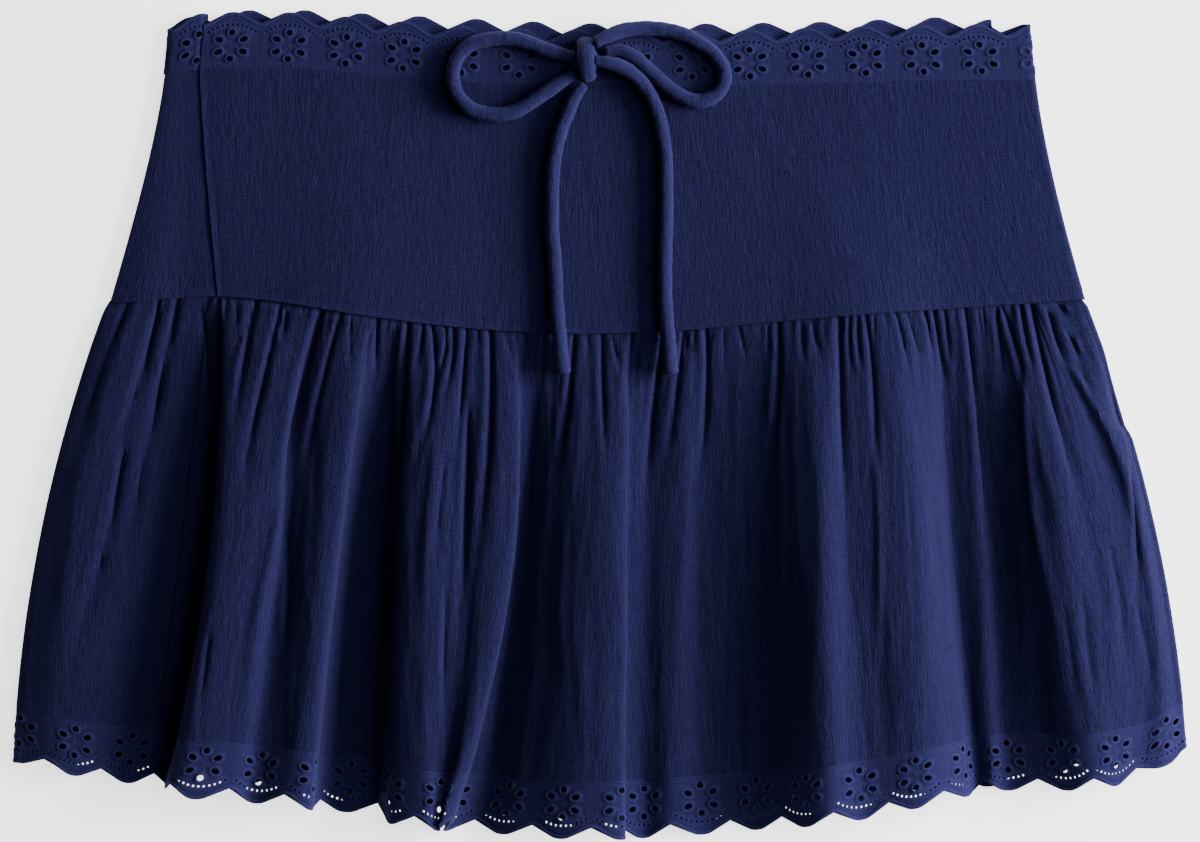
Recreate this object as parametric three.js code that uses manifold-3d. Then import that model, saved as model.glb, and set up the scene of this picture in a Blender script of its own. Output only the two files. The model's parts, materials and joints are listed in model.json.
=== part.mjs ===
// Mini skirt with a gathered tier, laid flat on its back: X to the right, Y up the garment, Z up.
// The origin is on the surface that it lies on, under the middle of its outline. Millimetres.
import * as THREE from 'three';
import { mergeVertices } from 'three/addons/utils/BufferGeometryUtils.js';
import Module from 'manifold-3d';

const wasm = await Module();
wasm.setup();

// Driving dimensions
const clothWall = 1.1; // cotton double gauze, yoke and tier
const trimWall = 1.0; // eyelet trim
const seamGap = 0.3; // between pieces that are sewn together
const yokeRest = 3.3; // height of the front yoke's middle above the surface, at the waist
const edgeRise = 4.9; // height of the tier's side folds at the hem
const trimWidth = 24.5; // from the trim's seam to a scallop's tip
const scallopDepth = 5;
const trimRepeat = 25.5; // one scallop and one flower
const waistLean = 0.1; // how far the waist trim leans inwards, a share of its height at the sides
const flowerDrop = 9.7; // from the trim's seam to a flower's centre
const petalReach = 6.1; // from a flower's centre to a side petal's eyelet
const petalSlant = THREE.MathUtils.degToRad(26.8); // of the line from a flower's centre to a side petal
const eyeletSlant = THREE.MathUtils.degToRad(18); // of a side petal's eyelet
const eyelet = { long: 4.1, wide: 2.6 };
const cordDiameter = 6.4;
const knotDiameter = 7;
const cutTolerance = 0.03; // how far the facets round an eyelet may move
const waistHalf = 191; // from the middle to a side fold, at the waist
const ringWidth = 420; // from one side fold to the other underneath, halfway down the yoke
const wrapUnder = 17; // how far the front wraps round the right fold to the seam underneath
const yokeFlare = 1.28; // how late the yoke widens: 1 is all the way down alike
const yokeLift = 1.6; // how late the yoke rises over the tier's folds
const tierSwell = 3.2; // how soon the tier's folds reach their height
const scallopPoint = 1.7; // how pointed the scallops' tips are: 1 is sharp, 2 is round
const foldSteps = 4; // round each side fold
const underSteps = 20; // across a back panel
const cordFacets = 8; // round a cord
const cordStep = 9; // length of a cord's facets

// Lines across the skirt: the height y of each seam where the cloth is at x
const frontWaistSeam = [
  { x: -191, y: 153.6 }, { x: -173, y: 156.4 }, { x: -145, y: 156.8 }, { x: -88, y: 152.7 }, { x: -48, y: 149.8 },
  { x: 44, y: 148.7 }, { x: 138, y: 150.9 }, { x: 191, y: 151.4 },
];
const backWaistSeam = [
  { x: -191, y: 153.6 }, { x: -150, y: 157.8 }, { x: -90, y: 155.4 }, { x: 0, y: 151.8 }, { x: 100, y: 152.6 },
  { x: 160, y: 154.6 }, { x: 191, y: 151.4 },
];
const frontTierSeam = [
  { x: -216, y: 52.8 }, { x: -164, y: 55.9 }, { x: -88, y: 45.3 }, { x: -37, y: 40.5 }, { x: 6, y: 39.8 },
  { x: 47, y: 42 }, { x: 88, y: 46 }, { x: 213, y: 54.8 },
];
const backTierSeam = [{ x: -216, y: 52.8 }, { x: -100, y: 48 }, { x: 100, y: 48 }, { x: 213, y: 54.8 }];
const backHemSeam = [
  { x: -257, y: -125.4 }, { x: -190, y: -129 }, { x: -140, y: -135.4 }, { x: -95, y: -141.6 },
  { x: -50, y: -147.4 }, { x: 0, y: -151 }, { x: 50, y: -148.9 }, { x: 100, y: -143.8 },
  { x: 145, y: -136.4 }, { x: 190, y: -130.2 }, { x: 256, y: -123.2 },
];

// The front yoke from its left fold to its right one: x at the waist and at the tier seam, and how high
// it stands at the tier seam, where the folds of the tier lift it
const yokeSwells = [
  { at: 'left fold', waist: -190.4, seam: -214.4, rise: 3.4 },
  { at: 'left swell', waist: -186, seam: -203, rise: 5 },
  { at: 'hollow', waist: -181, seam: -184, rise: 3.7 },
  { at: 'side seam', waist: -176, seam: -168, rise: 4.8 },
  { at: 'slope', waist: -143, seam: -150, rise: 6.4 },
  { at: 'slope', waist: -114, seam: -127, rise: 9.2 },
  { at: 'crest', waist: -99, seam: -108, rise: 10.4 },
  { at: 'fall', waist: -59, seam: -66, rise: 9 },
  { at: 'fall', waist: -28, seam: -31, rise: 7.5 },
  { at: 'middle', waist: 0, seam: 0, rise: 6.4 },
  { at: 'hollow', waist: 36, seam: 40, rise: 5.2 },
  { at: 'slope', waist: 68, seam: 75, rise: 7 },
  { at: 'crest', waist: 99, seam: 109, rise: 10.6 },
  { at: 'fall', waist: 119, seam: 131, rise: 9.2 },
  { at: 'fall', waist: 136, seam: 150, rise: 5.6 },
  { at: 'hollow', waist: 160, seam: 176, rise: 4.3 },
  { at: 'right swell', waist: 181, seam: 198, rise: 4 },
  { at: 'right fold', waist: 190, seam: 211.6, rise: 3.4 },
];
const yokeSideSeam = 3; // its row in the table

// The folds of the front tier from left to right: x at the seam, halfway down and at the hem, height y
// of the tier's lower edge, and how high the fold stands. A lip hangs over the tuck beside it.
const tierFolds = [
  { at: 'left fold', seam: -215.6, middle: -241.3, hem: -254.3, hemY: -125.4, rise: edgeRise },
  { at: 'left swell', seam: -204, middle: -226.6, hem: -237.6, hemY: -128.9, rise: 9 },
  { at: 'left fall', seam: -186, middle: -200, hem: -211, hemY: -132.5, rise: 6 },
  { at: 'side seam', seam: -172, middle: -182.5, hem: -194, hemY: -133.4, rise: 3.4 },
  { at: 'valley A', seam: -169, middle: -173.8, hem: -187, hemY: -133.8, rise: 2.6 },
  { at: 'tuck A', seam: -167, middle: -169.4, hem: -184.6, hemY: -135.1, rise: 10 },
  { at: 'lip A', seam: -166, middle: -168.4, hem: -184, hemY: -136.8, rise: 18.5 },
  { at: 'crest A', seam: -162, middle: -164.6, hem: -180.8, hemY: -138, rise: 21.5 },
  { at: 'shoulder A', seam: -132, middle: -143, hem: -157.5, hemY: -139.6, rise: 19 },
  { at: 'crease A', seam: -127, middle: -137, hem: -149.5, hemY: -140.8, rise: 14.5 },
  { at: 'crest B', seam: -109, middle: -120, hem: -131.5, hemY: -142.6, rise: 20 },
  { at: 'lip B', seam: -101.5, middle: -114.5, hem: -125, hemY: -143.9, rise: 18.5 },
  { at: 'tuck B', seam: -99.5, middle: -113.2, hem: -123.4, hemY: -144.3, rise: 9.5 },
  { at: 'valley B', seam: -95, middle: -107, hem: -118, hemY: -145.2, rise: 2.6 },
  { at: 'floor B', seam: -89.5, middle: -94.8, hem: -98.4, hemY: -146.1, rise: 2.6 },
  { at: 'tuck C', seam: -86, middle: -90.9, hem: -94, hemY: -147.8, rise: 10 },
  { at: 'shoulder C', seam: -82, middle: -88, hem: -90.8, hemY: -150, rise: 17 },
  { at: 'crest C', seam: -67, middle: -75, hem: -76.5, hemY: -151.8, rise: 22 },
  { at: 'crease C', seam: -57, middle: -59.8, hem: -67.5, hemY: -152.7, rise: 19.5 },
  { at: 'crest of lip C', seam: -46, middle: -44.8, hem: -63, hemY: -152.7, rise: 22.5 },
  { at: 'lip C', seam: -38.4, middle: -38, hem: -57.6, hemY: -152.7, rise: 20 },
  { at: 'tuck under C', seam: -36.4, middle: -41.2, hem: -60.8, hemY: -153.1, rise: 9.5 },
  { at: 'valley C', seam: -31.5, middle: -35, hem: -51, hemY: -153.6, rise: 2.6 },
  { at: 'slope D', seam: -20, middle: -24.5, hem: -34, hemY: -154.9, rise: 11 },
  { at: 'crest D', seam: -3, middle: -5, hem: -9, hemY: -156.2, rise: 20 },
  { at: 'lip D', seam: 13.5, middle: 11.4, hem: 10.6, hemY: -156.2, rise: 19 },
  { at: 'tuck D', seam: 12, middle: 8.8, hem: 7.6, hemY: -156.2, rise: 9.5 },
  { at: 'valley D', seam: 20, middle: 19.5, hem: 19, hemY: -156.2, rise: 3.2 },
  { at: 'crest E', seam: 41, middle: 35, hem: 31.5, hemY: -155.3, rise: 7 },
  { at: 'hollow E', seam: 48.5, middle: 43.5, hem: 46, hemY: -154.4, rise: 3.6 },
  { at: 'slope G', seam: 70, middle: 69, hem: 70, hemY: -152.2, rise: 9 },
  { at: 'crest G', seam: 93, middle: 97, hem: 99.5, hemY: -149.6, rise: 26 },
  { at: 'saddle G', seam: 106, middle: 108.5, hem: 114, hemY: -147.4, rise: 20.5 },
  { at: 'shoulder G', seam: 130, middle: 139, hem: 143, hemY: -142.1, rise: 22 },
  { at: 'fall G', seam: 141.5, middle: 148, hem: 157, hemY: -139, rise: 12 },
  { at: 'valley G', seam: 149, middle: 154, hem: 163, hemY: -137.3, rise: 3 },
  { at: 'small crest', seam: 159.5, middle: 166.2, hem: 171.5, hemY: -136.8, rise: 9 },
  { at: 'valley H', seam: 164, middle: 171, hem: 177.5, hemY: -136.4, rise: 3.5 },
  { at: 'slope H', seam: 174, middle: 184, hem: 195, hemY: -136, rise: 10 },
  { at: 'crest H', seam: 184, middle: 199, hem: 214, hemY: -135.5, rise: 18.5 },
  { at: 'crease H', seam: 194, middle: 231, hem: 239, hemY: -131.1, rise: 11 },
  { at: 'right swell', seam: 207, middle: 235.5, hem: 247, hemY: -126.7, rise: 10 },
  { at: 'right fold', seam: 211.6, middle: 239.1, hem: 253.9, hemY: -123.2, rise: edgeRise },
];
const tierSideSeam = 3; // its row in the table

// Levels down the tier, 0 at its seam and 1 at its lower edge, and how deep the gathers are there. The
// gathers of the first two levels are drawn with twice as many columns.
const tierLevels = [
  { down: 0, gather: 0.6 }, { down: 0.06, gather: 1.3 }, { down: 0.15, gather: 0.9 }, { down: 0.28, gather: 0.55 },
  { down: 0.42, gather: 0.3 }, { down: 0.6, gather: 0.1 }, { down: 0.8, gather: 0 }, { down: 1, gather: 0 },
];
const fineLevels = 2;
const gatherSpacing = 3.9; // between a gather's crest and its valley, along the tier seam
const gatherUneven = { mean: 0.8, swing: 0.3, turn: 2.4 }; // depths vary along the seam, as a wave

// The drawstring's routes, x, y and z of the cord's middle, chosen by hand to lie on the cloth
const loopLeft = [
  [-11, 161, 9.3], [-16, 162, 8], [-23, 164.2, 7.5], [-30.5, 167.2, 7.4], [-38, 169.2, 7.4], [-47, 169.2, 7.4],
  [-56.3, 166.8, 7.4], [-63, 160.2, 7.4], [-64.7, 151.4, 7.5], [-62, 143.4, 7.6], [-56.3, 138.2, 7.7],
  [-48, 136, 7.7], [-38.7, 136.9, 7.7], [-30.4, 141.2, 7.6], [-23, 146.4, 7.5], [-16, 151, 7.4], [-11.2, 153.3, 7.4],
];
const loopRight = [
  [-1.8, 167.6, 13.2], [3.4, 170.2, 12], [10.5, 172.8, 9.6], [20.5, 173.8, 7.6], [31.7, 172.6, 7.4], [41, 169, 7.4],
  [49.3, 163.4, 7.4], [54.3, 156, 7.4], [54.3, 149.4, 7.5], [50.2, 144.2, 7.6], [44, 141.8, 7.7], [36.6, 143.6, 7.6],
  [29.2, 148.4, 7.5], [22, 155, 7.4], [15, 161, 7.4], [9, 163.8, 7.4], [3, 163.6, 7.4],
];
const tailLeft = [
  [-7.5, 148.4, 7.5], [-10.4, 144.6, 7.5], [-14.6, 136, 7.6], [-18.4, 125, 7.8], [-20.6, 112.6, 8.2],
  [-21.1, 98.6, 8.6], [-21.1, 85.4, 9.2], [-20.2, 74.4, 9.6], [-19.6, 64, 10.1], [-19.2, 55.4, 10.5],
  [-18.4, 45, 11.5], [-17.4, 34, 12.9], [-16.3, 23, 13.9],
];
const tailRight = [
  [-1.8, 159.3, 13.4], [3, 158.6, 13.2], [8, 157.2, 12.2], [13, 154.6, 10.6], [17.6, 150.6, 9], [21.4, 145.4, 8],
  [24.4, 139, 7.6], [27, 130, 7.6], [28.6, 119, 7.7], [29, 106, 8], [29, 92, 8.2], [28.6, 78, 8.6], [28.4, 64, 8.9],
  [28.8, 52, 9.3], [29.6, 42, 9.9], [30.4, 32, 11.2], [31, 23, 11.5],
];
const knotArch = [
  [-6.2, 168, 7], [-6.2, 165.6, 12], [-6.1, 161.4, 14], [-5.9, 157, 14], [-5.6, 153.6, 11.4], [-5.4, 152.3, 7.4],
];

const colours = { gauze: 0x2a2e5c, trim: 0x30345f, cord: 0x343a6e };

function material(colour) {
  return new THREE.MeshStandardMaterial({ color: colour, roughness: 0.9, metalness: 0 });
}

// A smooth line through a table's rows: the value of one column where another one is at a number.
function lineThrough(rows, from, to) {
  const slope = (i) => {
    const before = rows[Math.max(i - 1, 0)];
    const after = rows[Math.min(i + 1, rows.length - 1)];
    return (after[to] - before[to]) / (after[from] - before[from]);
  };
  return (at) => {
    const place = THREE.MathUtils.clamp(at, rows[0][from], rows.at(-1)[from]);
    const i = Math.min(Math.max(rows.findIndex((row) => row[from] >= place), 1), rows.length - 1) - 1;
    const span = rows[i + 1][from] - rows[i][from];
    const t = (place - rows[i][from]) / span;
    return (
      (2 * t ** 3 - 3 * t ** 2 + 1) * rows[i][to] +
      (t ** 3 - 2 * t ** 2 + t) * span * slope(i) +
      (3 * t ** 2 - 2 * t ** 3) * rows[i + 1][to] +
      (t ** 3 - t ** 2) * span * slope(i + 1)
    );
  };
}

const waistSeamY = lineThrough(frontWaistSeam, 'x', 'y');
const backWaistY = lineThrough(backWaistSeam, 'x', 'y');
const tierSeamY = lineThrough(frontTierSeam, 'x', 'y');
const backTierSeamY = lineThrough(backTierSeam, 'x', 'y');
const backHemY = lineThrough(backHemSeam, 'x', 'y');
const yokeRiseAt = lineThrough(yokeSwells, 'seam', 'rise');

// The skirt is a flat tube. A place on its ring runs from 0 to 1 over the top from left to right, to 2
// round the right fold, to 3 under it from right to left, and to 4 round the left fold.
function ringPoint(place, topPoint, underY) {
  const floor = clothWall / 2;
  const turn = Math.floor(place) % 4;
  const t = place - Math.floor(place);
  if (turn === 0) return topPoint(t);
  const right = topPoint(1);
  const left = topPoint(0);
  if (turn === 2) {
    const x = THREE.MathUtils.lerp(right.x, left.x, t);
    const ends = THREE.MathUtils.lerp(right.y - underY(right.x), left.y - underY(left.x), t);
    return new THREE.Vector3(x, underY(x) + ends, floor);
  }
  const fold = turn === 1 ? right : left;
  const radius = (fold.z - floor) / 2;
  const angle = Math.PI * (turn === 1 ? t : 1 - t);
  const out = turn === 1 ? radius : -radius;
  return new THREE.Vector3(fold.x + out * Math.sin(angle), fold.y, floor + radius * (1 + Math.cos(angle)));
}

// A point of the yoke's tube, down from 0 at the waist seam to 1 at the tier seam.
function yokePoint(place, down) {
  const flare = Math.pow(Math.max(down, 0), yokeFlare);
  const lift = Math.pow(Math.max(down, 0), yokeLift);
  const points = yokeSwells.map((row) => {
    const x = THREE.MathUtils.lerp(row.waist, row.seam, flare);
    const y = THREE.MathUtils.lerp(waistSeamY(x), tierSeamY(x), down);
    return new THREE.Vector3(x, y, THREE.MathUtils.lerp(yokeRest, row.rise, lift));
  });
  const across = new THREE.CatmullRomCurve3(points, false, 'centripetal');
  const underY = (x) => THREE.MathUtils.lerp(backWaistY(x), backTierSeamY(x), down);
  return ringPoint(place, (t) => across.getPoint(t), underY);
}

// The front lies on the back where it is lowest, and never in it.
function clearOfBack(point) {
  point.z = Math.max(point.z, clothWall * 1.5 + 2 * seamGap);
  return point;
}

// A point of the tier's tube, down from 0 at its seam to 1 at its lower edge and on over the hem trim.
const tierSections = new Map();
function tierSection(down) {
  if (!tierSections.has(down)) {
    const rest = 1 - down;
    const swell = 1 - Math.pow(Math.max(rest, 0), tierSwell);
    const points = tierFolds.map((row) => {
      const x = row.seam * rest * (1 - 2 * down) + row.middle * 4 * down * rest + row.hem * down * (2 * down - 1);
      const y = THREE.MathUtils.lerp(tierSeamY(row.seam) - seamGap, row.hemY, down);
      return new THREE.Vector3(x, y, THREE.MathUtils.lerp(yokeRiseAt(row.seam), row.rise, swell));
    });
    tierSections.set(down, new THREE.CatmullRomCurve3(points, false, 'centripetal'));
  }
  return tierSections.get(down);
}

function tierPoint(place, down) {
  const across = tierSection(down);
  const onTop = (t) => clearOfBack(across.getPoint(t));
  const underY = (x) => THREE.MathUtils.lerp(backTierSeamY(x) - seamGap, backHemY(x), down);
  return ringPoint(place, onTop, underY);
}

// A closed wall round a sheet of points: rows from top to bottom, each from left to right as seen from
// outside. A row has as many points as the one above, or one for every second point.
function wallRound(rows, wall) {
  const middle = rows.flat();
  const faces = [];
  let above = 0;
  for (let r = 0; r + 1 < rows.length; r++) {
    const below = above + rows[r].length;
    const step = rows[r].length === rows[r + 1].length ? 1 : 2;
    for (let c = 0; c + 1 < rows[r + 1].length; c++) {
      const a = above + c * step;
      const d = below + c;
      if (step === 2) faces.push([a, a + 1, d], [a + 1, a + 2, d + 1], [a + 1, d + 1, d]);
      else faces.push([a, d + 1, d], [a, a + 1, d + 1]);
    }
    above = below;
  }
  const normals = middle.map(() => new THREE.Vector3());
  const borders = new Map();
  for (const face of faces) {
    face.reverse();
    const [a, b, c] = face.map((i) => middle[i]);
    const across = new THREE.Vector3().crossVectors(b.clone().sub(a), c.clone().sub(a));
    face.forEach((from, k) => {
      const to = face[(k + 1) % 3];
      normals[from].add(across);
      if (!borders.delete(`${to} ${from}`)) borders.set(`${from} ${to}`, [from, to]);
    });
  }
  normals.forEach((n) => n.setLength(wall / 2));
  const skins = [...middle.map((p, i) => p.clone().add(normals[i])), ...middle.map((p, i) => p.clone().sub(normals[i]))];
  const inside = (i) => i + middle.length;
  const triangles = faces.flatMap(([a, b, c]) => [a, b, c, inside(a), inside(c), inside(b)]);
  for (const [a, b] of borders.values()) triangles.push(b, a, inside(a), b, inside(a), inside(b));
  const geometry = new THREE.BufferGeometry().setFromPoints(skins);
  geometry.setIndex(triangles);
  return geometry;
}

// Booleans
function toSolid(geometry) {
  const shape = geometry.clone();
  shape.deleteAttribute('normal');
  shape.deleteAttribute('uv');
  const merged = mergeVertices(shape, 1e-5);
  const vertProperties = new Float32Array(merged.attributes.position.array);
  return new wasm.Manifold(new wasm.Mesh({ numProp: 3, vertProperties, triVerts: new Uint32Array(merged.index.array) }));
}

function toGeometry(solid) {
  const cut = solid.getMesh();
  const geometry = new THREE.BufferGeometry();
  geometry.setAttribute('position', new THREE.BufferAttribute(new Float32Array(cut.vertProperties), 3));
  geometry.setIndex(new THREE.BufferAttribute(new Uint32Array(cut.triVerts), 1));
  return geometry;
}

// Places on a ring from one place to another, passing 4 where it starts again, with a number of steps.
function steps(from, to, count) {
  return Array.from({ length: count + 1 }, (_, i) => THREE.MathUtils.lerp(from, to, i / count));
}

const skirt = new THREE.Group();

function addPiece(name, geometry, colour) {
  const mesh = new THREE.Mesh(geometry, material(colour));
  mesh.name = name;
  skirt.add(mesh);
}

const underSeam = 2 + wrapUnder / ringWidth; // the place of the seam underneath

// Yoke: two panels, sewn at the side seams
const yokeSteps = yokeSwells.length - 1;
const yokeSeamPlace = yokeSideSeam / yokeSteps;
const yokeDown = [0, 0.2, 0.4, 0.6, 0.8, 1];
const yokeFront = [
  ...steps(yokeSeamPlace, 1, (yokeSteps - yokeSideSeam) * 2),
  ...steps(1, 2, foldSteps).slice(1),
  ...steps(2, underSeam, 2).slice(1),
];
const yokeBack = [
  ...steps(underSeam, 3, underSteps),
  ...steps(3, 4, foldSteps).slice(1),
  ...steps(4, 4 + yokeSeamPlace, yokeSideSeam * 2).slice(1),
];

// The places of a panel, its first and last moved in so that the two panels stay a seam's gap apart.
function sewn(places, pointAt) {
  const inset = (near, next) => {
    const reach = pointAt(near).distanceTo(pointAt(next));
    return THREE.MathUtils.lerp(near, next, seamGap / 2 / reach);
  };
  return [inset(places[0], places[1]), ...places.slice(1, -1), inset(places.at(-1), places.at(-2))];
}

function yokePanel(places) {
  const rows = yokeDown.map((down) => sewn(places, (p) => yokePoint(p, down)).map((p) => yokePoint(p, down)));
  return wallRound(rows, clothWall);
}
addPiece('front_yoke', yokePanel(yokeFront), colours.gauze);
addPiece('back_yoke', yokePanel(yokeBack), colours.gauze);

// Tier: two gathered panels. Each fold has as many columns as its share of the seam.
const foldCount = tierFolds.length - 1;
const tierSeamPlace = tierSideSeam / foldCount;

function foldColumns(firstFold, lastFold) {
  const columns = [firstFold / foldCount];
  for (let k = firstFold; k < lastFold; k++) {
    const width = tierFolds[k + 1].seam - tierFolds[k].seam;
    const count = Math.max(1, Math.round(width / gatherSpacing));
    columns.push(...steps(k / foldCount, (k + 1) / foldCount, count).slice(1));
  }
  return columns;
}
const tierFront = [
  ...foldColumns(tierSideSeam, foldCount),
  ...steps(1, 2, foldSteps).slice(1),
  ...steps(2, underSeam, 1).slice(1),
];
const tierBack = [
  ...steps(underSeam, 3, underSteps),
  ...steps(3, 4, foldSteps).slice(1),
  ...foldColumns(0, tierSideSeam).slice(1).map((place) => 4 + place),
];

// The cloth between two columns' middles rises and falls by turns, and uneven depths keep it natural.
function tierPanel(places) {
  const rows = tierLevels.map((level, r) => {
    const fine = r < fineLevels;
    const ends = sewn(places, (p) => tierPoint(p, level.down));
    const columns = fine ? ends.flatMap((p, i) => (i ? [(ends[i - 1] + p) / 2, p] : [p])) : ends;
    return columns.map((place, i) => {
      const point = tierPoint(place, level.down);
      const turn = fine ? i / 2 : i;
      const onTop = place < 1 || place > 4;
      const sewnEnd = i === 0 || i === columns.length - 1;
      const depth = level.gather * (gatherUneven.mean + gatherUneven.swing * Math.sin(turn * gatherUneven.turn));
      if (onTop && !sewnEnd) point.z += depth * Math.cos(Math.PI * turn);
      return onTop ? clearOfBack(point) : point;
    });
  });
  return wallRound(rows, clothWall);
}
addPiece('front_tier', tierPanel(tierFront), colours.gauze);
addPiece('back_tier', tierPanel(tierBack), colours.gauze);

// Eyelet trim: a band that runs round a ring, measured along its seam. Its free edge is scalloped.
function scallopEdge(along) {
  const turn = (along / trimRepeat) % 1;
  const offCentre = 2 * (turn < 0 ? turn + 1 : turn) - 1;
  return trimWidth - scallopDepth * Math.sin((Math.PI / 2) * Math.abs(offCentre)) ** scallopPoint;
}

const scallopCorners = [0, 0.19, 0.5, 0.81]; // shares of a repeat: a valley, a side, the tip and a side
const cornerClearance = 2; // between a scallop's corner and a bend of the cloth
const rulerSteps = 6; // between two places, to measure the curve that joins them

// A ring's places with the length along it, from one place to another.
function measured(places, pointAt) {
  let length = 0;
  return places.map((place, i) => {
    if (i) length += pointAt(place).distanceTo(pointAt(places[i - 1]));
    return { place, length };
  });
}

// The band between two places of a ring. pointAt gives the cloth at a place and a distance from the
// seam, and start is the length along the trim at the first place.
function trimBand(corners, pointAt, start, away) {
  const ruler = measured(corners.flatMap((p, i) => (i ? steps(corners[i - 1], p, rulerSteps).slice(1) : [p])), (p) => pointAt(p, 0));
  const placeAt = (length) => {
    const i = Math.min(Math.max(ruler.findIndex((mark) => mark.length >= length), 1), ruler.length - 1);
    const part = (length - ruler[i - 1].length) / (ruler[i].length - ruler[i - 1].length);
    return THREE.MathUtils.lerp(ruler[i - 1].place, ruler[i].place, part);
  };
  const end = ruler.at(-1).length;
  const stops = new Set([seamGap / 2, end - seamGap / 2]);
  for (let repeat = Math.floor(start / trimRepeat); repeat * trimRepeat < start + end; repeat++) {
    scallopCorners.forEach((part) => stops.add((repeat + part) * trimRepeat - start));
  }
  for (let i = 0; i < ruler.length; i += rulerSteps) {
    const clear = [...stops].every((stop) => Math.abs(stop - ruler[i].length) > cornerClearance);
    if (clear) stops.add(ruler[i].length);
  }
  const lengths = [...stops].filter((l) => l >= seamGap / 2 && l <= end - seamGap / 2).sort((a, b) => a - b);
  const rows = [
    lengths.map((length) => pointAt(placeAt(length), seamGap)),
    lengths.map((length) => pointAt(placeAt(length), scallopEdge(length + start))),
  ];
  const solid = toSolid(wallRound(away ? rows : rows.reverse(), trimWall));
  return { solid, placeAt, end };
}

// The eyelets of the side petals of each flower, cut through the band along its own normal.
function cutEyelets(band, pointAt, start) {
  const outline = new THREE.Shape();
  for (let k = 0; k < 4; k++) {
    const angle = (k / 4) * 2 * Math.PI;
    outline.lineTo((eyelet.long / 2) * Math.cos(angle), (eyelet.wide / 2) * Math.sin(angle));
  }
  const depth = trimWall * 3;
  const cutter = new THREE.ExtrudeGeometry(outline, { depth, bevelEnabled: false }).translate(0, 0, -depth / 2);
  const cutters = [];
  const margin = petalReach + eyelet.long;
  for (let repeat = Math.ceil(start / trimRepeat - 0.5); (repeat + 0.5) * trimRepeat < start + band.end; repeat++) {
    const centre = (repeat + 0.5) * trimRepeat - start;
    if (centre < margin || centre > band.end - margin) continue;
    for (const side of [-1, 1]) {
      for (const tilt of [-petalSlant, petalSlant]) {
        const along = centre + side * petalReach * Math.cos(tilt);
        const drop = flowerDrop + petalReach * Math.sin(tilt);
        const here = pointAt(band.placeAt(along), drop);
        const ahead = pointAt(band.placeAt(along + 0.5), drop).sub(pointAt(band.placeAt(along - 0.5), drop)).normalize();
        const down = pointAt(band.placeAt(along), drop + 0.5).sub(pointAt(band.placeAt(along), drop - 0.5)).normalize();
        const normal = new THREE.Vector3().crossVectors(ahead, down).normalize();
        const across = new THREE.Vector3().crossVectors(normal, ahead);
        const frame = new THREE.Matrix4().makeBasis(ahead, across, normal).setPosition(here);
        const turn = new THREE.Matrix4().makeRotationZ(side * Math.sign(tilt) * eyeletSlant);
        cutters.push(toSolid(cutter.clone().applyMatrix4(frame.multiply(turn))));
      }
    }
  }
  return band.solid.subtract(wasm.Manifold.union(cutters)).simplify(cutTolerance);
}

const tierLength = 185; // of the cloth, from its seam to the hem trim
const waistTrimPoint = (place, away) => {
  const seam = yokePoint(place, 0);
  return new THREE.Vector3(seam.x * (1 - (waistLean * away) / waistHalf), seam.y + away, seam.z);
};
const hemTrimPoint = (place, away) => tierPoint(place, 1 + away / tierLength);
const wholeFolds = (from, to) => Array.from({ length: to - from + 1 }, (_, i) => (from + i) / foldCount);
const swellPlaces = (from, to) => Array.from({ length: to - from + 1 }, (_, i) => (from + i) / yokeSteps);
const waistFrontPlaces = [...swellPlaces(yokeSideSeam, yokeSteps), 1.5, 2, underSeam];
const waistBackPlaces = [underSeam, 3, 3.5, 4, ...swellPlaces(1, yokeSideSeam).map((p) => 4 + p)];
const hemFrontPlaces = [...wholeFolds(tierSideSeam, foldCount), 1.5, 2, underSeam];
const hemBackPlaces = [...steps(underSeam, 3, 3), 3.5, 4, ...wholeFolds(1, tierSideSeam).map((p) => 4 + p)];

const waistFront = trimBand(waistFrontPlaces, waistTrimPoint, 0, false);
addPiece('waist_trim_front', toGeometry(cutEyelets(waistFront, waistTrimPoint, 0)), colours.trim);
const waistBack = trimBand(waistBackPlaces, waistTrimPoint, trimRepeat / 2, false);
addPiece('waist_trim_back', toGeometry(waistBack.solid), colours.trim);
const hemFront = trimBand(hemFrontPlaces, hemTrimPoint, 0, true);
addPiece('hem_trim_front', toGeometry(cutEyelets(hemFront, hemTrimPoint, 0)), colours.trim);
const hemBack = trimBand(hemBackPlaces, hemTrimPoint, 0, true);
addPiece('hem_trim_back', toGeometry(hemBack.solid), colours.trim);

// Drawstring: a soft rouleau cord, each stretch that leaves the knot its own solid
function cordAlong(route, diameter) {
  const path = new THREE.CatmullRomCurve3(route.map(([x, y, z]) => new THREE.Vector3(x, y, z)), false, 'centripetal');
  const section = new THREE.Shape();
  for (let k = 0; k < cordFacets; k++) {
    const angle = ((k + 0.5) / cordFacets) * 2 * Math.PI;
    section.lineTo((diameter / 2) * Math.cos(angle), (diameter / 2) * Math.sin(angle));
  }
  const stretches = Math.round(path.getLength() / cordStep);
  return new THREE.ExtrudeGeometry(section, { steps: stretches, extrudePath: path, bevelEnabled: false });
}
addPiece('cord_loop_left', cordAlong(loopLeft, cordDiameter), colours.cord);
addPiece('cord_loop_right', cordAlong(loopRight, cordDiameter), colours.cord);
addPiece('cord_tail_left', cordAlong(tailLeft, cordDiameter), colours.cord);
addPiece('cord_tail_right', cordAlong(tailRight, cordDiameter), colours.cord);
addPiece('cord_knot', cordAlong(knotArch, knotDiameter), colours.cord);

export default skirt;
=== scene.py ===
"""The looks of a navy mini skirt with a gathered tier, eyelet trims and a drawstring, laid flat."""

import json
import math

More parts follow.
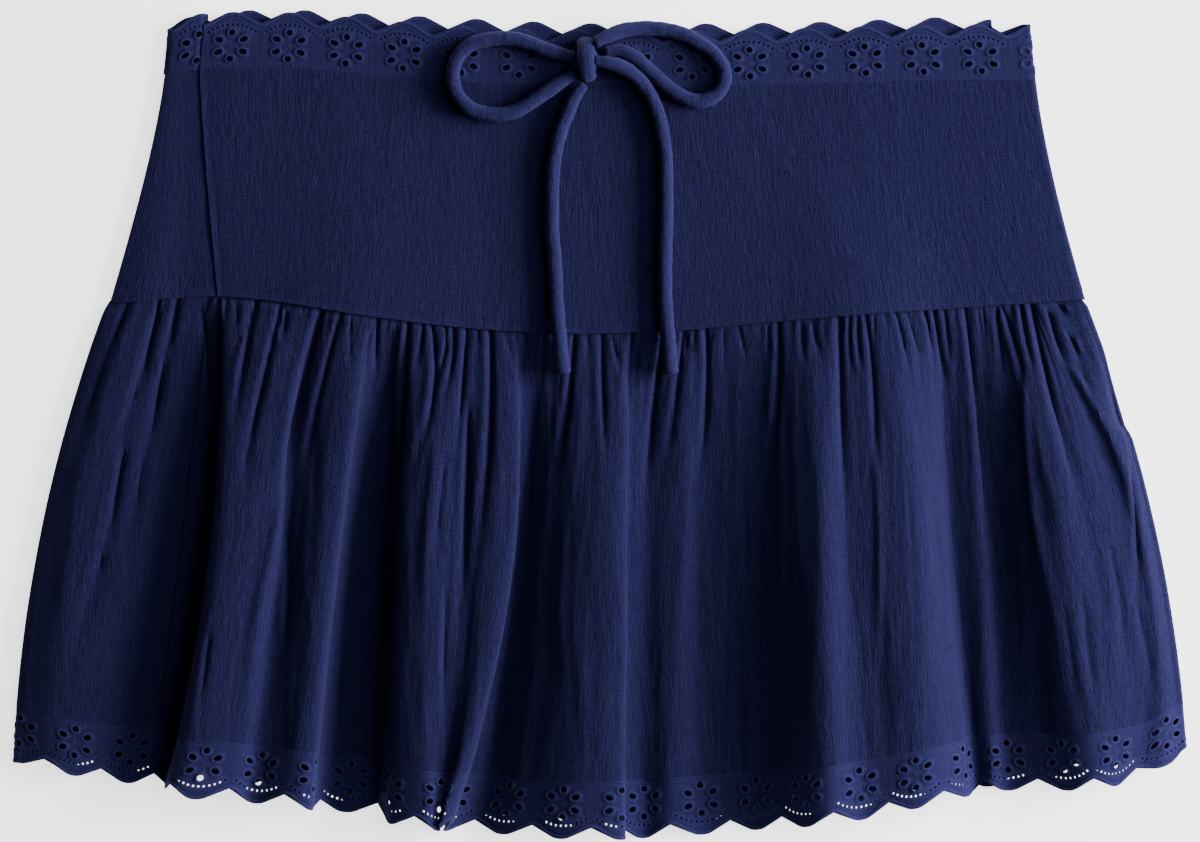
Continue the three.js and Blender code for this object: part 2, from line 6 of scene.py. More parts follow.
import bmesh
import bpy
import numpy as np
from mathutils import Vector, geometry
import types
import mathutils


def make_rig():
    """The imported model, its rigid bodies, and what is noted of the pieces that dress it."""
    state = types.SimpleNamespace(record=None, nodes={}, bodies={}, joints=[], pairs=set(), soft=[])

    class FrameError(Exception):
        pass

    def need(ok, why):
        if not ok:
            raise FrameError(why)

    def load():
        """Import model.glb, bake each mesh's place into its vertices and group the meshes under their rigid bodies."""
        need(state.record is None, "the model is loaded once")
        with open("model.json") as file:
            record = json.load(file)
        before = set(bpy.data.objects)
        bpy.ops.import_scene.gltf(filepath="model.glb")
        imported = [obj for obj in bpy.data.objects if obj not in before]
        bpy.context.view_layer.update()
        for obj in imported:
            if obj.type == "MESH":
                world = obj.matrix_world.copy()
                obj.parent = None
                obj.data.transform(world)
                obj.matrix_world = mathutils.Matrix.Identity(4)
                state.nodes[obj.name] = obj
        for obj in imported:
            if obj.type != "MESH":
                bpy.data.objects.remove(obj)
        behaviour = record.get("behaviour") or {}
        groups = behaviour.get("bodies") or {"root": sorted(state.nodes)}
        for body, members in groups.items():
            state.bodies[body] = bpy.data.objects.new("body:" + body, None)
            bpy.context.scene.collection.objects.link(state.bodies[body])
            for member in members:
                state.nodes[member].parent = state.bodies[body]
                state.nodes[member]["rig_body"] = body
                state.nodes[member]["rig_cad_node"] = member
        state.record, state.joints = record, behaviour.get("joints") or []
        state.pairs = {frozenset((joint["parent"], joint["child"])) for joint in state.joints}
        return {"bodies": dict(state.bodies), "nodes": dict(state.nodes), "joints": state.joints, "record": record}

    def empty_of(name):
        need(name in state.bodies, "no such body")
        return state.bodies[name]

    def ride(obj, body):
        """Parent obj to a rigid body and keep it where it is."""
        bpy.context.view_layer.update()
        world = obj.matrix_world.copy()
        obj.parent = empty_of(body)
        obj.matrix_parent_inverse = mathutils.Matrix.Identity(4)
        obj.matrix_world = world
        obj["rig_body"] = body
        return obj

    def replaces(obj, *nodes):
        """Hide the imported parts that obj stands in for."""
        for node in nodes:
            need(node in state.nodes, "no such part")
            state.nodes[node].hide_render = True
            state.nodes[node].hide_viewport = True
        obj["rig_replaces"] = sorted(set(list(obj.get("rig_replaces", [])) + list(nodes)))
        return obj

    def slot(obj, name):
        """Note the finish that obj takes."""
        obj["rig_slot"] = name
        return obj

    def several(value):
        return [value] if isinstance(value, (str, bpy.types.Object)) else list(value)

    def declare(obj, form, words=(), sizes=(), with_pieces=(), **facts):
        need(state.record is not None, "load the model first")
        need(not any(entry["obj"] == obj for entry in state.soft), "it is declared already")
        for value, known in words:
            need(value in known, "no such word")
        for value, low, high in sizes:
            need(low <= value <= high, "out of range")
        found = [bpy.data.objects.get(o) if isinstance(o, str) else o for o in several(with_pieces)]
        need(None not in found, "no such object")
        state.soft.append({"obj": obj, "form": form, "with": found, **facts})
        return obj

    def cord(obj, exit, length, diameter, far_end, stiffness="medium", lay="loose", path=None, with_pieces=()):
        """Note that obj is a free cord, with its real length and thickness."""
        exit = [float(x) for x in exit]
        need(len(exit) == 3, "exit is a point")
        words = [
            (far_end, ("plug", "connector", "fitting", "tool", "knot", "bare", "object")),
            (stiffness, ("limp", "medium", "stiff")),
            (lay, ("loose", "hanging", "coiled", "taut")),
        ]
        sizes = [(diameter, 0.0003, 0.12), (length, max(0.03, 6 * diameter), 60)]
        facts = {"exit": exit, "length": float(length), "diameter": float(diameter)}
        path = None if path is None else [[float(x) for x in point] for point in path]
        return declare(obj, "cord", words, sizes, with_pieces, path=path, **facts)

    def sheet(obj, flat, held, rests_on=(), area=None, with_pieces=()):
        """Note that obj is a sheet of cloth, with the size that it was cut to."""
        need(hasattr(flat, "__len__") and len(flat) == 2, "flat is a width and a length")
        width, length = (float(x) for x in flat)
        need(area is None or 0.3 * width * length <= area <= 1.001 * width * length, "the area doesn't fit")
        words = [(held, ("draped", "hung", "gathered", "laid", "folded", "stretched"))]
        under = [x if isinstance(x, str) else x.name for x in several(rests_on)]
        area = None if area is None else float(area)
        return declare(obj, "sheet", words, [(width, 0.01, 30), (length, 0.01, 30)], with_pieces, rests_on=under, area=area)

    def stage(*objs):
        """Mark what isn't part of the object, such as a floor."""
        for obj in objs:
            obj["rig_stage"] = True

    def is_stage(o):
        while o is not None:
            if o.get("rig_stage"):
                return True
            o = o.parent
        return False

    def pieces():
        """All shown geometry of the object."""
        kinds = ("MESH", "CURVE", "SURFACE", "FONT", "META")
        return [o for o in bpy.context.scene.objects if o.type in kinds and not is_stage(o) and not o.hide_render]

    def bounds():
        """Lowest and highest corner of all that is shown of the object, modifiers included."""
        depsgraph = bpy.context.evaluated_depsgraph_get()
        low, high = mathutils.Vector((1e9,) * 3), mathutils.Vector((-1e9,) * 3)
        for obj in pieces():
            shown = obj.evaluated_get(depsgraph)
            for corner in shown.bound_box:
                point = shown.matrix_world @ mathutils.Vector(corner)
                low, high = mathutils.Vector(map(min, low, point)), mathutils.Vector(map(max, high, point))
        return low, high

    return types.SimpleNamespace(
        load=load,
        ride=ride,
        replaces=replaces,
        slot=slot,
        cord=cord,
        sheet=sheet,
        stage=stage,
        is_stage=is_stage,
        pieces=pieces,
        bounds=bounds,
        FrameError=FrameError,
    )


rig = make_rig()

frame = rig.load()
cad_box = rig.bounds()
bpy.ops.object.select_all(action="DESELECT")

# The surface: a pale, smooth table or floor that the skirt is laid on. The picture is taken from
# straight above it, from far off, so that the picture is as wide as 528 mm of the surface.
MM = 0.001
PICTURE_WIDTH = 0.528
CAMERA_HEIGHT = 4.0
SENSOR = 36.0
PICTURE_MIDDLE = 0.0013  # how far up the garment the picture's middle is

bpy.ops.mesh.primitive_plane_add(size=7, location=(0, 0, 0))
surface = bpy.context.object
surface.name = "surface"
paper = bpy.data.materials.new("pale_surface")
paper.use_nodes = True
paper_shader = paper.node_tree.nodes["Principled BSDF"]
paper_shader.inputs["Base Color"].default_value = (0.9, 0.9, 0.89, 1)
paper_shader.inputs["Roughness"].default_value = 0.8
paper_shader.inputs["Emission Color"].default_value = (1, 1, 1, 1)
paper_shader.inputs["Emission Strength"].default_value = 2.0
surface.data.materials.append(paper)
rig.stage(surface)

bpy.ops.object.camera_add(location=(0, PICTURE_MIDDLE, CAMERA_HEIGHT), rotation=(0, 0, 0))
camera = bpy.context.object
camera.data.sensor_width = SENSOR
camera.data.lens = SENSOR * CAMERA_HEIGHT / PICTURE_WIDTH
camera.data.clip_end = 30
bpy.context.scene.camera = camera

# The light: a large soft window low on the right, which rakes over the folds, a weaker one above it that
# reaches into the wide valleys, and very little light from all round.
KEY_HEIGHT = math.radians(21.5)
KEY_SIDE = 0.12  # how far it stands towards the waist, as a share of its distance
KEY_DISTANCE = 2.2


def soft_window(name, place, wide, high, energy, colour):
    """A window of soft light that faces the skirt."""
    bpy.ops.object.light_add(type="AREA", location=place)
    light = bpy.context.object
    light.name = name
    light.data.shape = "RECTANGLE"
    light.data.size, light.data.size_y = wide, high
    light.data.energy = energy
    light.data.color = colour
    light.rotation_euler = (-place).to_track_quat("-Z", "Y").to_euler()


key_place = Vector((math.cos(KEY_HEIGHT), KEY_SIDE, math.sin(KEY_HEIGHT))).normalized() * KEY_DISTANCE
soft_window("window", key_place, 1.3, 0.9, 190, (1, 0.98, 0.95))
soft_window("upper_window", Vector((1.2, 0.3, 1.95)), 1.5, 1.5, 32, (1, 1, 1))

room = bpy.data.worlds.new("room")
room.use_nodes = True
room.node_tree.nodes["Background"].inputs["Color"].default_value = (0.85, 0.9, 1, 1)
room.node_tree.nodes["Background"].inputs["Strength"].default_value = 0.045
bpy.context.scene.world = room

# Drawstring: a rouleau, a bias strip of the gauze sewn into a soft round cord about 6.5 mm thick. It
# comes out at the middle of the front and is tied in a bow, whose loops and tails lie on the yoke.
CORD = 6.4
KNOT = 7.8
LOOP_LEFT = (
    (-11, 161, 9.3), (-16, 162, 8), (-23, 164.2, 7.5), (-30.5, 167.2, 7.4), (-38, 169.2, 7.4),
    (-47, 169.2, 7.4), (-56.3, 166.8, 7.4), (-63, 160.2, 7.4), (-64.7, 151.4, 7.5), (-62, 143.4, 7.6),
    (-56.3, 138.2, 7.7), (-48, 136, 7.7), (-38.7, 136.9, 7.7), (-30.4, 141.2, 7.6), (-23, 146.4, 7.5),
    (-16, 151, 7.4), (-11.2, 153.3, 7.4),
)
LOOP_RIGHT = (
    (-1.8, 167.6, 13.2), (3.4, 170.2, 12), (10.5, 172.8, 9.6), (20.5, 173.8, 7.6), (31.7, 172.6, 7.4),
    (41, 169, 7.4), (49.3, 163.4, 7.4), (54.3, 156, 7.4), (54.3, 149.4, 7.5), (50.2, 144.2, 7.6),
    (44, 141.8, 7.7), (36.6, 143.6, 7.6), (29.2, 148.4, 7.5), (22, 155, 7.4), (15, 161, 7.4),
    (9, 163.8, 7.4), (3, 163.6, 7.4),
)
TAIL_LEFT = (
    (-7.5, 148.4, 7.5), (-10.4, 144.6, 7.5), (-14.6, 136, 7.6), (-18.4, 125, 7.8), (-20.6, 112.6, 8.2),
    (-21.1, 98.6, 8.6), (-21.1, 85.4, 9.2), (-20.2, 74.4, 9.6), (-19.6, 64, 10.1), (-19.2, 55.4, 10.5),
    (-18.4, 45, 11.5), (-17.4, 34, 12.9), (-16.3, 23, 13.9),
)
TAIL_RIGHT = (
    (-1.8, 159.3, 13.4), (3, 158.6, 13.2), (8, 157.2, 12.2), (13, 154.6, 10.6), (17.6, 150.6, 9),
    (21.4, 145.4, 8), (24.4, 139, 7.6), (27, 130, 7.6), (28.6, 119, 7.7), (29, 106, 8), (29, 92, 8.2),
    (28.6, 78, 8.6), (28.4, 64, 8.9), (28.8, 52, 9.3), (29.6, 42, 9.9), (30.4, 32, 11.2), (31, 23, 11.5),
)
KNOT_ARCH = (
    (-6.2, 168, 7), (-6.2, 165.6, 12), (-6.1, 161.4, 14), (-5.9, 157, 14), (-5.6, 153.6, 11.4),
    (-5.4, 152.3, 7.4),
)
KNOT_FLAT = 0.62  # how flat the cord lies where it wraps round the knot
KNOT_CORE = ((-10.6, 157.6, 8.4), (-7, 159.4, 9.4), (-2.2, 161.6, 9.2))


def curve_through(place, count, point):
    """A smooth curve through a table's points. place runs from 0 to 1, and point gives the rows' points."""
    along = np.clip(place, 0, 1) * (count - 1)
    row = np.clip(np.floor(along).astype(int), 0, count - 2)
    share = (along - row)[..., None]
    here, ahead = point(row), point(row + 1)
    at_start, at_end = (row == 0)[..., None], (row == count - 2)[..., None]
    before = np.where(at_start, 2 * here - ahead, point(np.maximum(row - 1, 0)))
    after = np.where(at_end, 2 * ahead - here, point(np.minimum(row + 2, count - 1)))
    first, middle, last = [np.maximum(np.sqrt(np.linalg.norm(b - a, axis=-1, keepdims=True)), 1e-4)
                           for a, b in ((before, here), (here, ahead), (ahead, after))]
    out = (here - before) / first - (ahead - before) / (first + middle) + (ahead - here) / middle
    into = (ahead - here) / middle - (after - here) / (middle + last) + (after - ahead) / last
    out, into = out * middle, into * middle
    curl = 2 * here - 2 * ahead + out + into
    bend = -3 * here + 3 * ahead - 2 * out - into
    return here + out * share + bend * share**2 + curl * share**3


def length_along(path):
    """The length of a path up to each of its points."""
    return np.concatenate([[0], np.cumsum(np.linalg.norm(np.diff(path, axis=0), axis=1))])


def unit(vectors):
    """The same directions, each one long."""
    return vectors / np.maximum(np.linalg.norm(vectors, axis=-1, keepdims=True), 1e-9)


def new_piece(name, points, faces, map_points, material, smooth=math.radians(50)):
    """A piece from points and faces, with a UV map in centimetres of cloth."""
    mesh = bpy.data.meshes.new(name)
    mesh.from_pydata((np.asarray(points) * MM).tolist(), [], [list(face) for face in faces])
    corners = np.empty(len(mesh.loops), dtype=int)
    mesh.loops.foreach_get("vertex_index", corners)
    cloth_map = mesh.uv_layers.new(name="cloth")
    cloth_map.data.foreach_set("uv", (np.asarray(map_points)[corners] * 0.1).astype(np.float32).ravel())
    piece = bpy.data.objects.new(name, mesh)
    bpy.context.collection.objects.link(piece)
    piece.data.materials.append(material)
    bpy.ops.object.select_all(action="DESELECT")
    piece.select_set(True)
    bpy.context.view_layer.objects.active = piece
    bpy.ops.object.shade_smooth_by_angle(angle=smooth)
    return piece


def turn_faces_out():
    """Turns the faces of the newest piece outward."""
    bpy.ops.object.mode_set(mode="EDIT")
    bpy.ops.mesh.select_all(action="SELECT")
    bpy.ops.mesh.normals_make_consistent(inside=False)
    bpy.ops.object.mode_set(mode="OBJECT")


FUZZ = 0.8
WRINKLES = 1.3
THREAD_WAVES = (  # how often each comes in a centimetre, across and down the cloth, and its detail
    (13, 1.9, 3), (1.9, 13, 3), (30, 30, 2), (4.6, 0.9, 6),
)


def threads_group():
    """Uneven threads on a map in centimetres: slubs down the cloth and across it, a fuzz, and wrinkles."""
    group = bpy.data.node_groups.new("uneven_threads", "ShaderNodeTree")
    for name, kind, way in (("Map", "NodeSocketVector", "INPUT"), ("Down", "NodeSocketFloat", "INPUT"),
                            ("Across", "NodeSocketFloat", "INPUT"), ("Tone", "NodeSocketFloat", "OUTPUT"),
                            ("Height", "NodeSocketFloat", "OUTPUT")):
        group.interface.new_socket(name, in_out=way, socket_type=kind)
    nodes, links = group.nodes, group.links
    given, result = nodes.new("NodeGroupInput"), nodes.new("NodeGroupOutput")
    waves = []
    for often_across, often_down, detail in THREAD_WAVES:
        stretch = nodes.new("ShaderNodeVectorMath")
        stretch.operation = "MULTIPLY"
        stretch.inputs[1].default_value = (often_across, often_down, 1)
        links.new(given.outputs["Map"], stretch.inputs[0])
        wave = nodes.new("ShaderNodeTexNoise")
        wave.inputs["Scale"].default_value = 1
        wave.inputs["Detail"].default_value = detail
        links.new(stretch.outputs[0], wave.inputs["Vector"])
        waves.append(wave.outputs["Fac"])

    def combine(operation, a, b):
        node = nodes.new("ShaderNodeMath")
        node.operation = operation
        for socket, value in zip(node.inputs, (a, b)):
            if isinstance(value, (int, float)):
                socket.default_value = value
            else:
                links.new(value, socket)
        return node.outputs[0]

    down = combine("MULTIPLY", waves[0], given.outputs["Down"])
    across = combine("MULTIPLY", waves[1], given.outputs["Across"])
    fuzz = combine("MULTIPLY", waves[2], FUZZ)
    total = combine("ADD", combine("ADD", down, across), fuzz)
    weights = combine("ADD", combine("ADD", given.outputs["Down"], given.outputs["Across"]), FUZZ)
    tone = combine("DIVIDE", total, weights)
    links.new(tone, result.inputs["Tone"])
    wrinkles = combine("MULTIPLY", waves[3], WRINKLES)
    links.new(combine("ADD", total, wrinkles), result.inputs["Height"])
    return group


THREADS = threads_group()


def cloth_material(name, dark, light, down, across, relief, sheen, stitched=None):
    """A matt cotton: its colour lies between two tones, thread by thread, or is that of its embroidery."""
    made = bpy.data.materials.new(name)
    made.use_nodes = True
    nodes, links = made.node_tree.nodes, made.node_tree.links
    shader = nodes["Principled BSDF"]
    place = nodes.new("ShaderNodeTexCoord")
    threads = nodes.new("ShaderNodeGroup")
    threads.node_tree = THREADS
    threads.inputs["Down"].default_value = down
    threads.inputs["Across"].default_value = across
    links.new(place.outputs["UV"], threads.inputs["Map"])
    tones = nodes.new("ShaderNodeValToRGB")
    tones.color_ramp.elements[0].position = 0.36
    tones.color_ramp.elements[0].color = (*dark, 1)
    tones.color_ramp.elements[1].position = 0.66
    tones.color_ramp.elements[1].color = (*light, 1)
    links.new(threads.outputs["Tone"], tones.inputs["Fac"])
    colour = tones.outputs["Color"]
    if stitched:
        where = nodes.new("ShaderNodeAttribute")
        where.attribute_name = "embroidery"
        blend = nodes.new("ShaderNodeMix")
        blend.data_type = "RGBA"
        blend.inputs["B"].default_value = (*stitched, 1)
        links.new(where.outputs["Fac"], blend.inputs["Factor"])
        links.new(colour, blend.inputs["A"])
        colour = blend.outputs["Result"]
    links.new(colour, shader.inputs["Base Color"])
    bump = nodes.new("ShaderNodeBump")
    bump.inputs["Strength"].default_value = relief
    bump.inputs["Distance"].default_value = 0.0006
    links.new(threads.outputs["Height"], bump.inputs["Height"])
    links.new(bump.outputs["Normal"], shader.inputs["Normal"])
    shader.inputs["Roughness"].default_value = 0.92
    shader.inputs["Specular IOR Level"].default_value = 0.08
    shader.inputs["Sheen Weight"].default_value = sheen
    shader.inputs["Sheen Roughness"].default_value = 0.55
    shader.inputs["Sheen Tint"].default_value = (0.34, 0.32, 0.9, 1)
    return made


rouleau = cloth_material("rouleau", (0.0062, 0.0060, 0.034), (0.0165, 0.0160, 0.078), 0.7, 0.9, 1.0, 0.12)
CORD_SIDES = 24
CORD_POINTS = 11
PINCH = 0.26  # how much thinner the cord is where the knot holds it
PINCH_REACH = 11
SWELL = 0.1  # how much thicker a tail is at its sewn end
SWELL_REACH = 8
CORD_ROUND = 20  # round the cord, on its map
CORD_LUMPS = ((0.13, 1.5, 1.3, 31), (0.13, 5, 6, 33), (0.1, 9, 2.6, 35))  # height, width, length and seed
# how an end closes, ring by ring: its size beside the cord's, and how far out it is
SEWN_END = ((0.86, 0.55), (0.55, 0.8), (0.25, 0.3))
ROUND_END = ((0.8, 0.6), (0.4, 0.9))


def noise(u, v, seed):
    """Smooth noise from -1 to 1 on a grid of ones."""
    size = 257
    table = np.random.RandomState(seed).uniform(-1, 1, (size, size))
    u0, v0 = np.floor(u).astype(int), np.floor(v).astype(int)
    s, t = u - u0, v - v0
    s, t = s * s * (3 - 2 * s), t * t * (3 - 2 * t)

    def on_row(row):
        return table[u0 % size, row % size] * (1 - s) + table[(u0 + 1) % size, row % size] * s

    return on_row(v0) * (1 - t) + on_row(v0 + 1) * t


def cord_piece(name, route, thickness, pinched, sewn_end=False, flat=1.0):
    """A soft tube along a route, a little lumpy, thinner at the ends that a knot pinches."""
    rows = np.array(route, dtype=float)
    place = np.linspace(0, 1, (len(rows) - 1) * CORD_POINTS + 1)
    line = curve_through(place, len(rows), lambda i: rows[i])
    ahead = unit(np.gradient(line, axis=0))
    side = unit(np.cross(ahead, (0, 0, 1.0)))
    up = np.cross(side, ahead)
    length = length_along(line)
    left = length[-1] - length
    turn = np.linspace(-math.pi / 2, 1.5 * math.pi, CORD_SIDES, endpoint=False)
    size = np.ones_like(length)
    for distance, held in zip((length, left), pinched):
        size -= held * PINCH * np.clip(1 - distance / PINCH_REACH, 0, 1) ** 1.4
    if sewn_end:
        size += SWELL * np.clip(1 - left / SWELL_REACH, 0, 1)
    around, down = np.broadcast_arrays((turn[None] / (2 * math.pi) + 0.25) * CORD_ROUND, length[:, None])
    lumps = sum(high * noise(around / wide, down / long, seed) for high, wide, long, seed in CORD_LUMPS)
    radius = thickness / 2 * size[:, None] + lumps
    points = line[:, None] + radius[..., None] * (
        np.cos(turn)[None, :, None] * side[:, None] + flat * np.sin(turn)[None, :, None] * up[:, None])
    maps = np.stack([around, down], axis=-1).reshape(-1, 2)
    points = points.reshape(-1, 3)
    faces = []
    for row in range(len(line) - 1):
        for k in range(CORD_SIDES):
            a, b = row * CORD_SIDES + k, row * CORD_SIDES + (k + 1) % CORD_SIDES
            faces.append((a, a + CORD_SIDES, b + CORD_SIDES, b))
    # each end is rounded in towards its middle, and a sewn end is pushed in, where the strip is turned in
    for row, way in ((0, -1), (len(line) - 1, 1)):
        rim = [row * CORD_SIDES + k for k in range(CORD_SIDES)]
        for scale, out in SEWN_END if sewn_end else ROUND_END:
            ring = line[row] + (points[rim] - line[row]) * scale + ahead[row] * way * out
            start = len(points)
            points = np.concatenate([points, ring])
            maps = np.concatenate([maps, maps[rim]])
            for k in range(CORD_SIDES):
                a, b, c, d = rim[k], rim[(k + 1) % CORD_SIDES], start + (k + 1) % CORD_SIDES, start + k
                faces.append((a, d, c, b) if way > 0 else (a, b, c, d))
            rim = list(range(start, start + CORD_SIDES))
        faces.append(tuple(rim[::-1]) if way > 0 else tuple(rim))
    piece = new_piece(name, points, faces, maps, rouleau, math.radians(75))
    turn_faces_out()
    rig.ride(piece, "root")
    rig.slot(piece, "cord")
    return piece, line * MM, length[-1] * MM


THREAD_SIDES = 5
FRAY_THREADS = 16
FRAY_THICK = 0.17  # radius at the root
FRAY_RINGS = 5


def add_thread(points, faces, maps, rings, side, up, map_step):
    """Adds a thin tube with closed ends. Each of its rings has a centre, a radius and a place on the map."""
    start, last = len(points), len(points) + (len(rings) - 1) * THREAD_SIDES
    for centre, radius, along in rings:
        for k in range(THREAD_SIDES):
            turn = 2 * math.pi * k / THREAD_SIDES
            points.append(centre + radius * (math.cos(turn) * side + math.sin(turn) * up))
            maps.append((k * map_step, along))
    for first in range(start, last, THREAD_SIDES):
        for k in range(THREAD_SIDES):
            a, b = first + k, first + (k + 1) % THREAD_SIDES
            faces.append((a, b, b + THREAD_SIDES, a + THREAD_SIDES))
    faces.append(tuple(range(start + THREAD_SIDES - 1, start - 1, -1)))
    faces.append(tuple(range(last, last + THREAD_SIDES)))


def frayed_end(name, tip, before, seed):
    """A few loose threads that stick out of a tail's end, each a thin tapered tube."""
    chance = np.random.RandomState(seed)
    ahead = unit(tip - before)
    side = unit(np.cross(ahead, (0, 0, 1.0)))
    up = np.cross(side, ahead)
    points, faces, maps = [], [], []
    for _ in range(FRAY_THREADS):
        angle, away = chance.uniform(0, 2 * math.pi), chance.uniform(0.2, 1.7)
        aside = math.cos(angle) * side + math.sin(angle) * up
        root = tip + away * aside
        way = ahead + 0.25 * away * aside + chance.uniform(-0.35, 0.35, 3)
        bend = chance.uniform(-0.5, 0.5, 3)
        reach = chance.uniform(1.3, 2.8)
        rings = [(root + reach * (share * way + share**2 * bend * 0.5), FRAY_THICK * (1 - 0.6 * share),
                  share * reach) for share in np.linspace(0, 1, FRAY_RINGS)]
        add_thread(points, faces, maps, rings, side, up, 0.2)
    piece = new_piece(name, points, faces, maps, rouleau)
    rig.ride(piece, "root")
    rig.slot(piece, "cord")


knot, _, _ = cord_piece("knot", KNOT_ARCH, KNOT, (False, False), flat=KNOT_FLAT)
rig.replaces(knot, "cord_knot")
cord_piece("knot_core", KNOT_CORE, 8.2, (False, False), flat=0.85)
for name, node, route, far_end in (
        ("bow_loop_left", "cord_loop_left", LOOP_LEFT, "object"),
        ("bow_loop_right", "cord_loop_right", LOOP_RIGHT, "object"),
        ("bow_tail_left", "cord_tail_left", TAIL_LEFT, "bare"),
        ("bow_tail_right", "cord_tail_right", TAIL_RIGHT, "bare")):
    tail = far_end == "bare"
    piece, path, length = cord_piece(name, route, CORD, (True, not tail), sewn_end=tail)
    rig.replaces(piece, node)
    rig.cord(piece, exit=path[0], length=length, diameter=CORD * MM, far_end=far_end, stiffness="limp",
            lay="loose", path=path[::2], with_pieces=[knot] if name == "bow_loop_left" else ())
    if tail:
        frayed_end(name + "_fray", path[-1] / MM, path[-4] / MM, len(route))

# Yoke: a front and a back panel of the same gauze, two layers woven together that crinkle finely down
# the cloth. They flare a little and are joined at the side seams, the left one just inside the fold.
WAIST_SEAM_FRONT = (
    (-191, 153.6), (-173, 156.4), (-145, 156.8), (-88, 152.7), (-48, 149.8), (44, 148.7), (138, 150.9),
    (191, 151.4),
)
WAIST_SEAM_BACK = (
    (-191, 153.6), (-150, 157.8), (-90, 155.4), (0, 151.8), (100, 152.6), (160, 154.6), (191, 151.4),
)
TIER_SEAM_FRONT = (
    (-216, 52.8), (-164, 55.9), (-88, 45.3), (-37, 40.5), (6, 39.8), (47, 42), (88, 46), (213, 54.8),
)
TIER_SEAM_BACK = ((-216, 52.8), (-100, 48), (100, 48), (213, 54.8))
# x at the waist, x at the tier's seam, and the height there, from the left fold to the right one
YOKE_SWELLS = np.array((
    (-190.4, -214.4, 3.4), (-186, -203, 5), (-181, -184, 3.7), (-176, -168, 4.8), (-143, -150, 6.4),
    (-114, -127, 9.2), (-99, -108, 10.4), (-59, -66, 9), (-28, -31, 7.5), (0, 0, 6.4), (36, 40, 5.2),
    (68, 75, 7), (99, 109, 10.6), (119, 131, 9.2), (136, 150, 5.6), (160, 176, 4.3), (181, 198, 4),
    (190, 211.6, 3.4),
))
YOKE_SIDE_SEAM = 3  # its row in the table
YOKE_REST = 3.3  # its height at the waist
YOKE_FLARE = 1.28  # how late the yoke widens, 1 being evenly from the waist down
YOKE_SWELL = 1.6  # how late it rises to the tier's folds
CLOTH = 1.1  # thickness of the solids
WALL = 0.9  # thickness of the cloth shown
SEAM_GAP = 0.3
WRAP_UNDER = 17 / 420  # how far the front wraps round the right fold, as a share of the back


def line_through(rows):
    """A smooth line through a table's points: y where x is given."""
    xs, ys = np.array(rows, dtype=float).T
    order = np.arange(len(xs))
    before, after = np.maximum(order - 1, 0), np.minimum(order + 1, len(xs) - 1)
    slopes = (ys[after] - ys[before]) / (xs[after] - xs[before])

    def value(x):
        x = np.clip(x, xs[0], xs[-1])
        i = np.clip(np.searchsorted(xs, x) - 1, 0, len(xs) - 2)
        span = xs[i + 1] - xs[i]
        t = (x - xs[i]) / span
        return ((2 * t**3 - 3 * t**2 + 1) * ys[i] + (t**3 - 2 * t**2 + t) * span * slopes[i]
                + (3 * t**2 - 2 * t**3) * ys[i + 1] + (t**3 - t**2) * span * slopes[i + 1])

    return value


waist_seam_y, waist_back_y = line_through(WAIST_SEAM_FRONT), line_through(WAIST_SEAM_BACK)
tier_seam_y, tier_back_y = line_through(TIER_SEAM_FRONT), line_through(TIER_SEAM_BACK)
yoke_rise = line_through(YOKE_SWELLS[:, 1:])


def mixed(a, b, share):
    return a + (b - a) * share


def bowed(start, middle, end, share):
    """A place on a bowed line, which its start, middle and end give."""
    rest = 1 - share
    return start * rest * (1 - 2 * share) + middle * 4 * share * rest + end * share * (2 * share - 1)


def round_ring(place, top, under_y):
    """The skirt is a flat tube. A place on it runs from 0 to 1 over the top, to 2 round the right fold, to 3
    underneath and to 4 round the left fold. top gives the upper side, and under_y the lower side's y."""
    floor = CLOTH / 2
    turn = np.floor(place).astype(int) % 4
    share = place - np.floor(place)
    points = top(np.where(turn == 0, share, np.where(turn == 1, 1.0, 0.0)))
    right, left = top(np.ones_like(share)), top(np.zeros_like(share))
    x = mixed(right[..., 0], left[..., 0], share)
    ends = mixed(right[..., 1] - under_y(right[..., 0]), left[..., 1] - under_y(left[..., 0]), share)
    under = np.stack([x, under_y(x) + ends, np.full_like(x, floor)], axis=-1)
    points = np.where((turn == 2)[..., None], under, points)
    for side, fold, out in ((1, right, 1), (3, left, -1)):
        angle = math.pi * (share if side == 1 else 1 - share)
        radius = (fold[..., 2] - floor) / 2
        rolled = np.stack([fold[..., 0] + out * radius * np.sin(angle), fold[..., 1],
                           floor + radius * (1 + np.cos(angle))], axis=-1)
        points = np.where((turn == side)[..., None], rolled, points)
    return points


def yoke_at(place, down):
    """A point of the yoke, down from 0 at the waist's seam to 1 at the tier's."""
    place, down = np.broadcast_arrays(place, down)
    held = np.maximum(down, 0)

    def row_point(i):
        x = mixed(YOKE_SWELLS[i, 0], YOKE_SWELLS[i, 1], held**YOKE_FLARE)
        return np.stack([x, mixed(waist_seam_y(x), tier_seam_y(x), down),
                         mixed(YOKE_REST, YOKE_SWELLS[i, 2], held**YOKE_SWELL)], axis=-1)

    return round_ring(place, lambda t: curve_through(t, len(YOKE_SWELLS), row_point),
                      lambda x: mixed(waist_back_y(x), tier_back_y(x), down))


def fine_places(corners):
    """Many places from each corner to the next."""
    stretches = [np.linspace(a, b, 24, endpoint=False) for a, b in zip(corners, corners[1:])]
    return np.concatenate(stretches + [[corners[-1]]])


def even_places(corners, point_at, step):
    """Places between the corners, about a step apart in millimetres, and the length of cloth up to each."""
    fine = fine_places(corners)
    length = length_along(point_at(fine))
    marks = np.linspace(0, length[-1], max(2, round(length[-1] / step)) + 1)
    return np.interp(marks, length, fine), marks


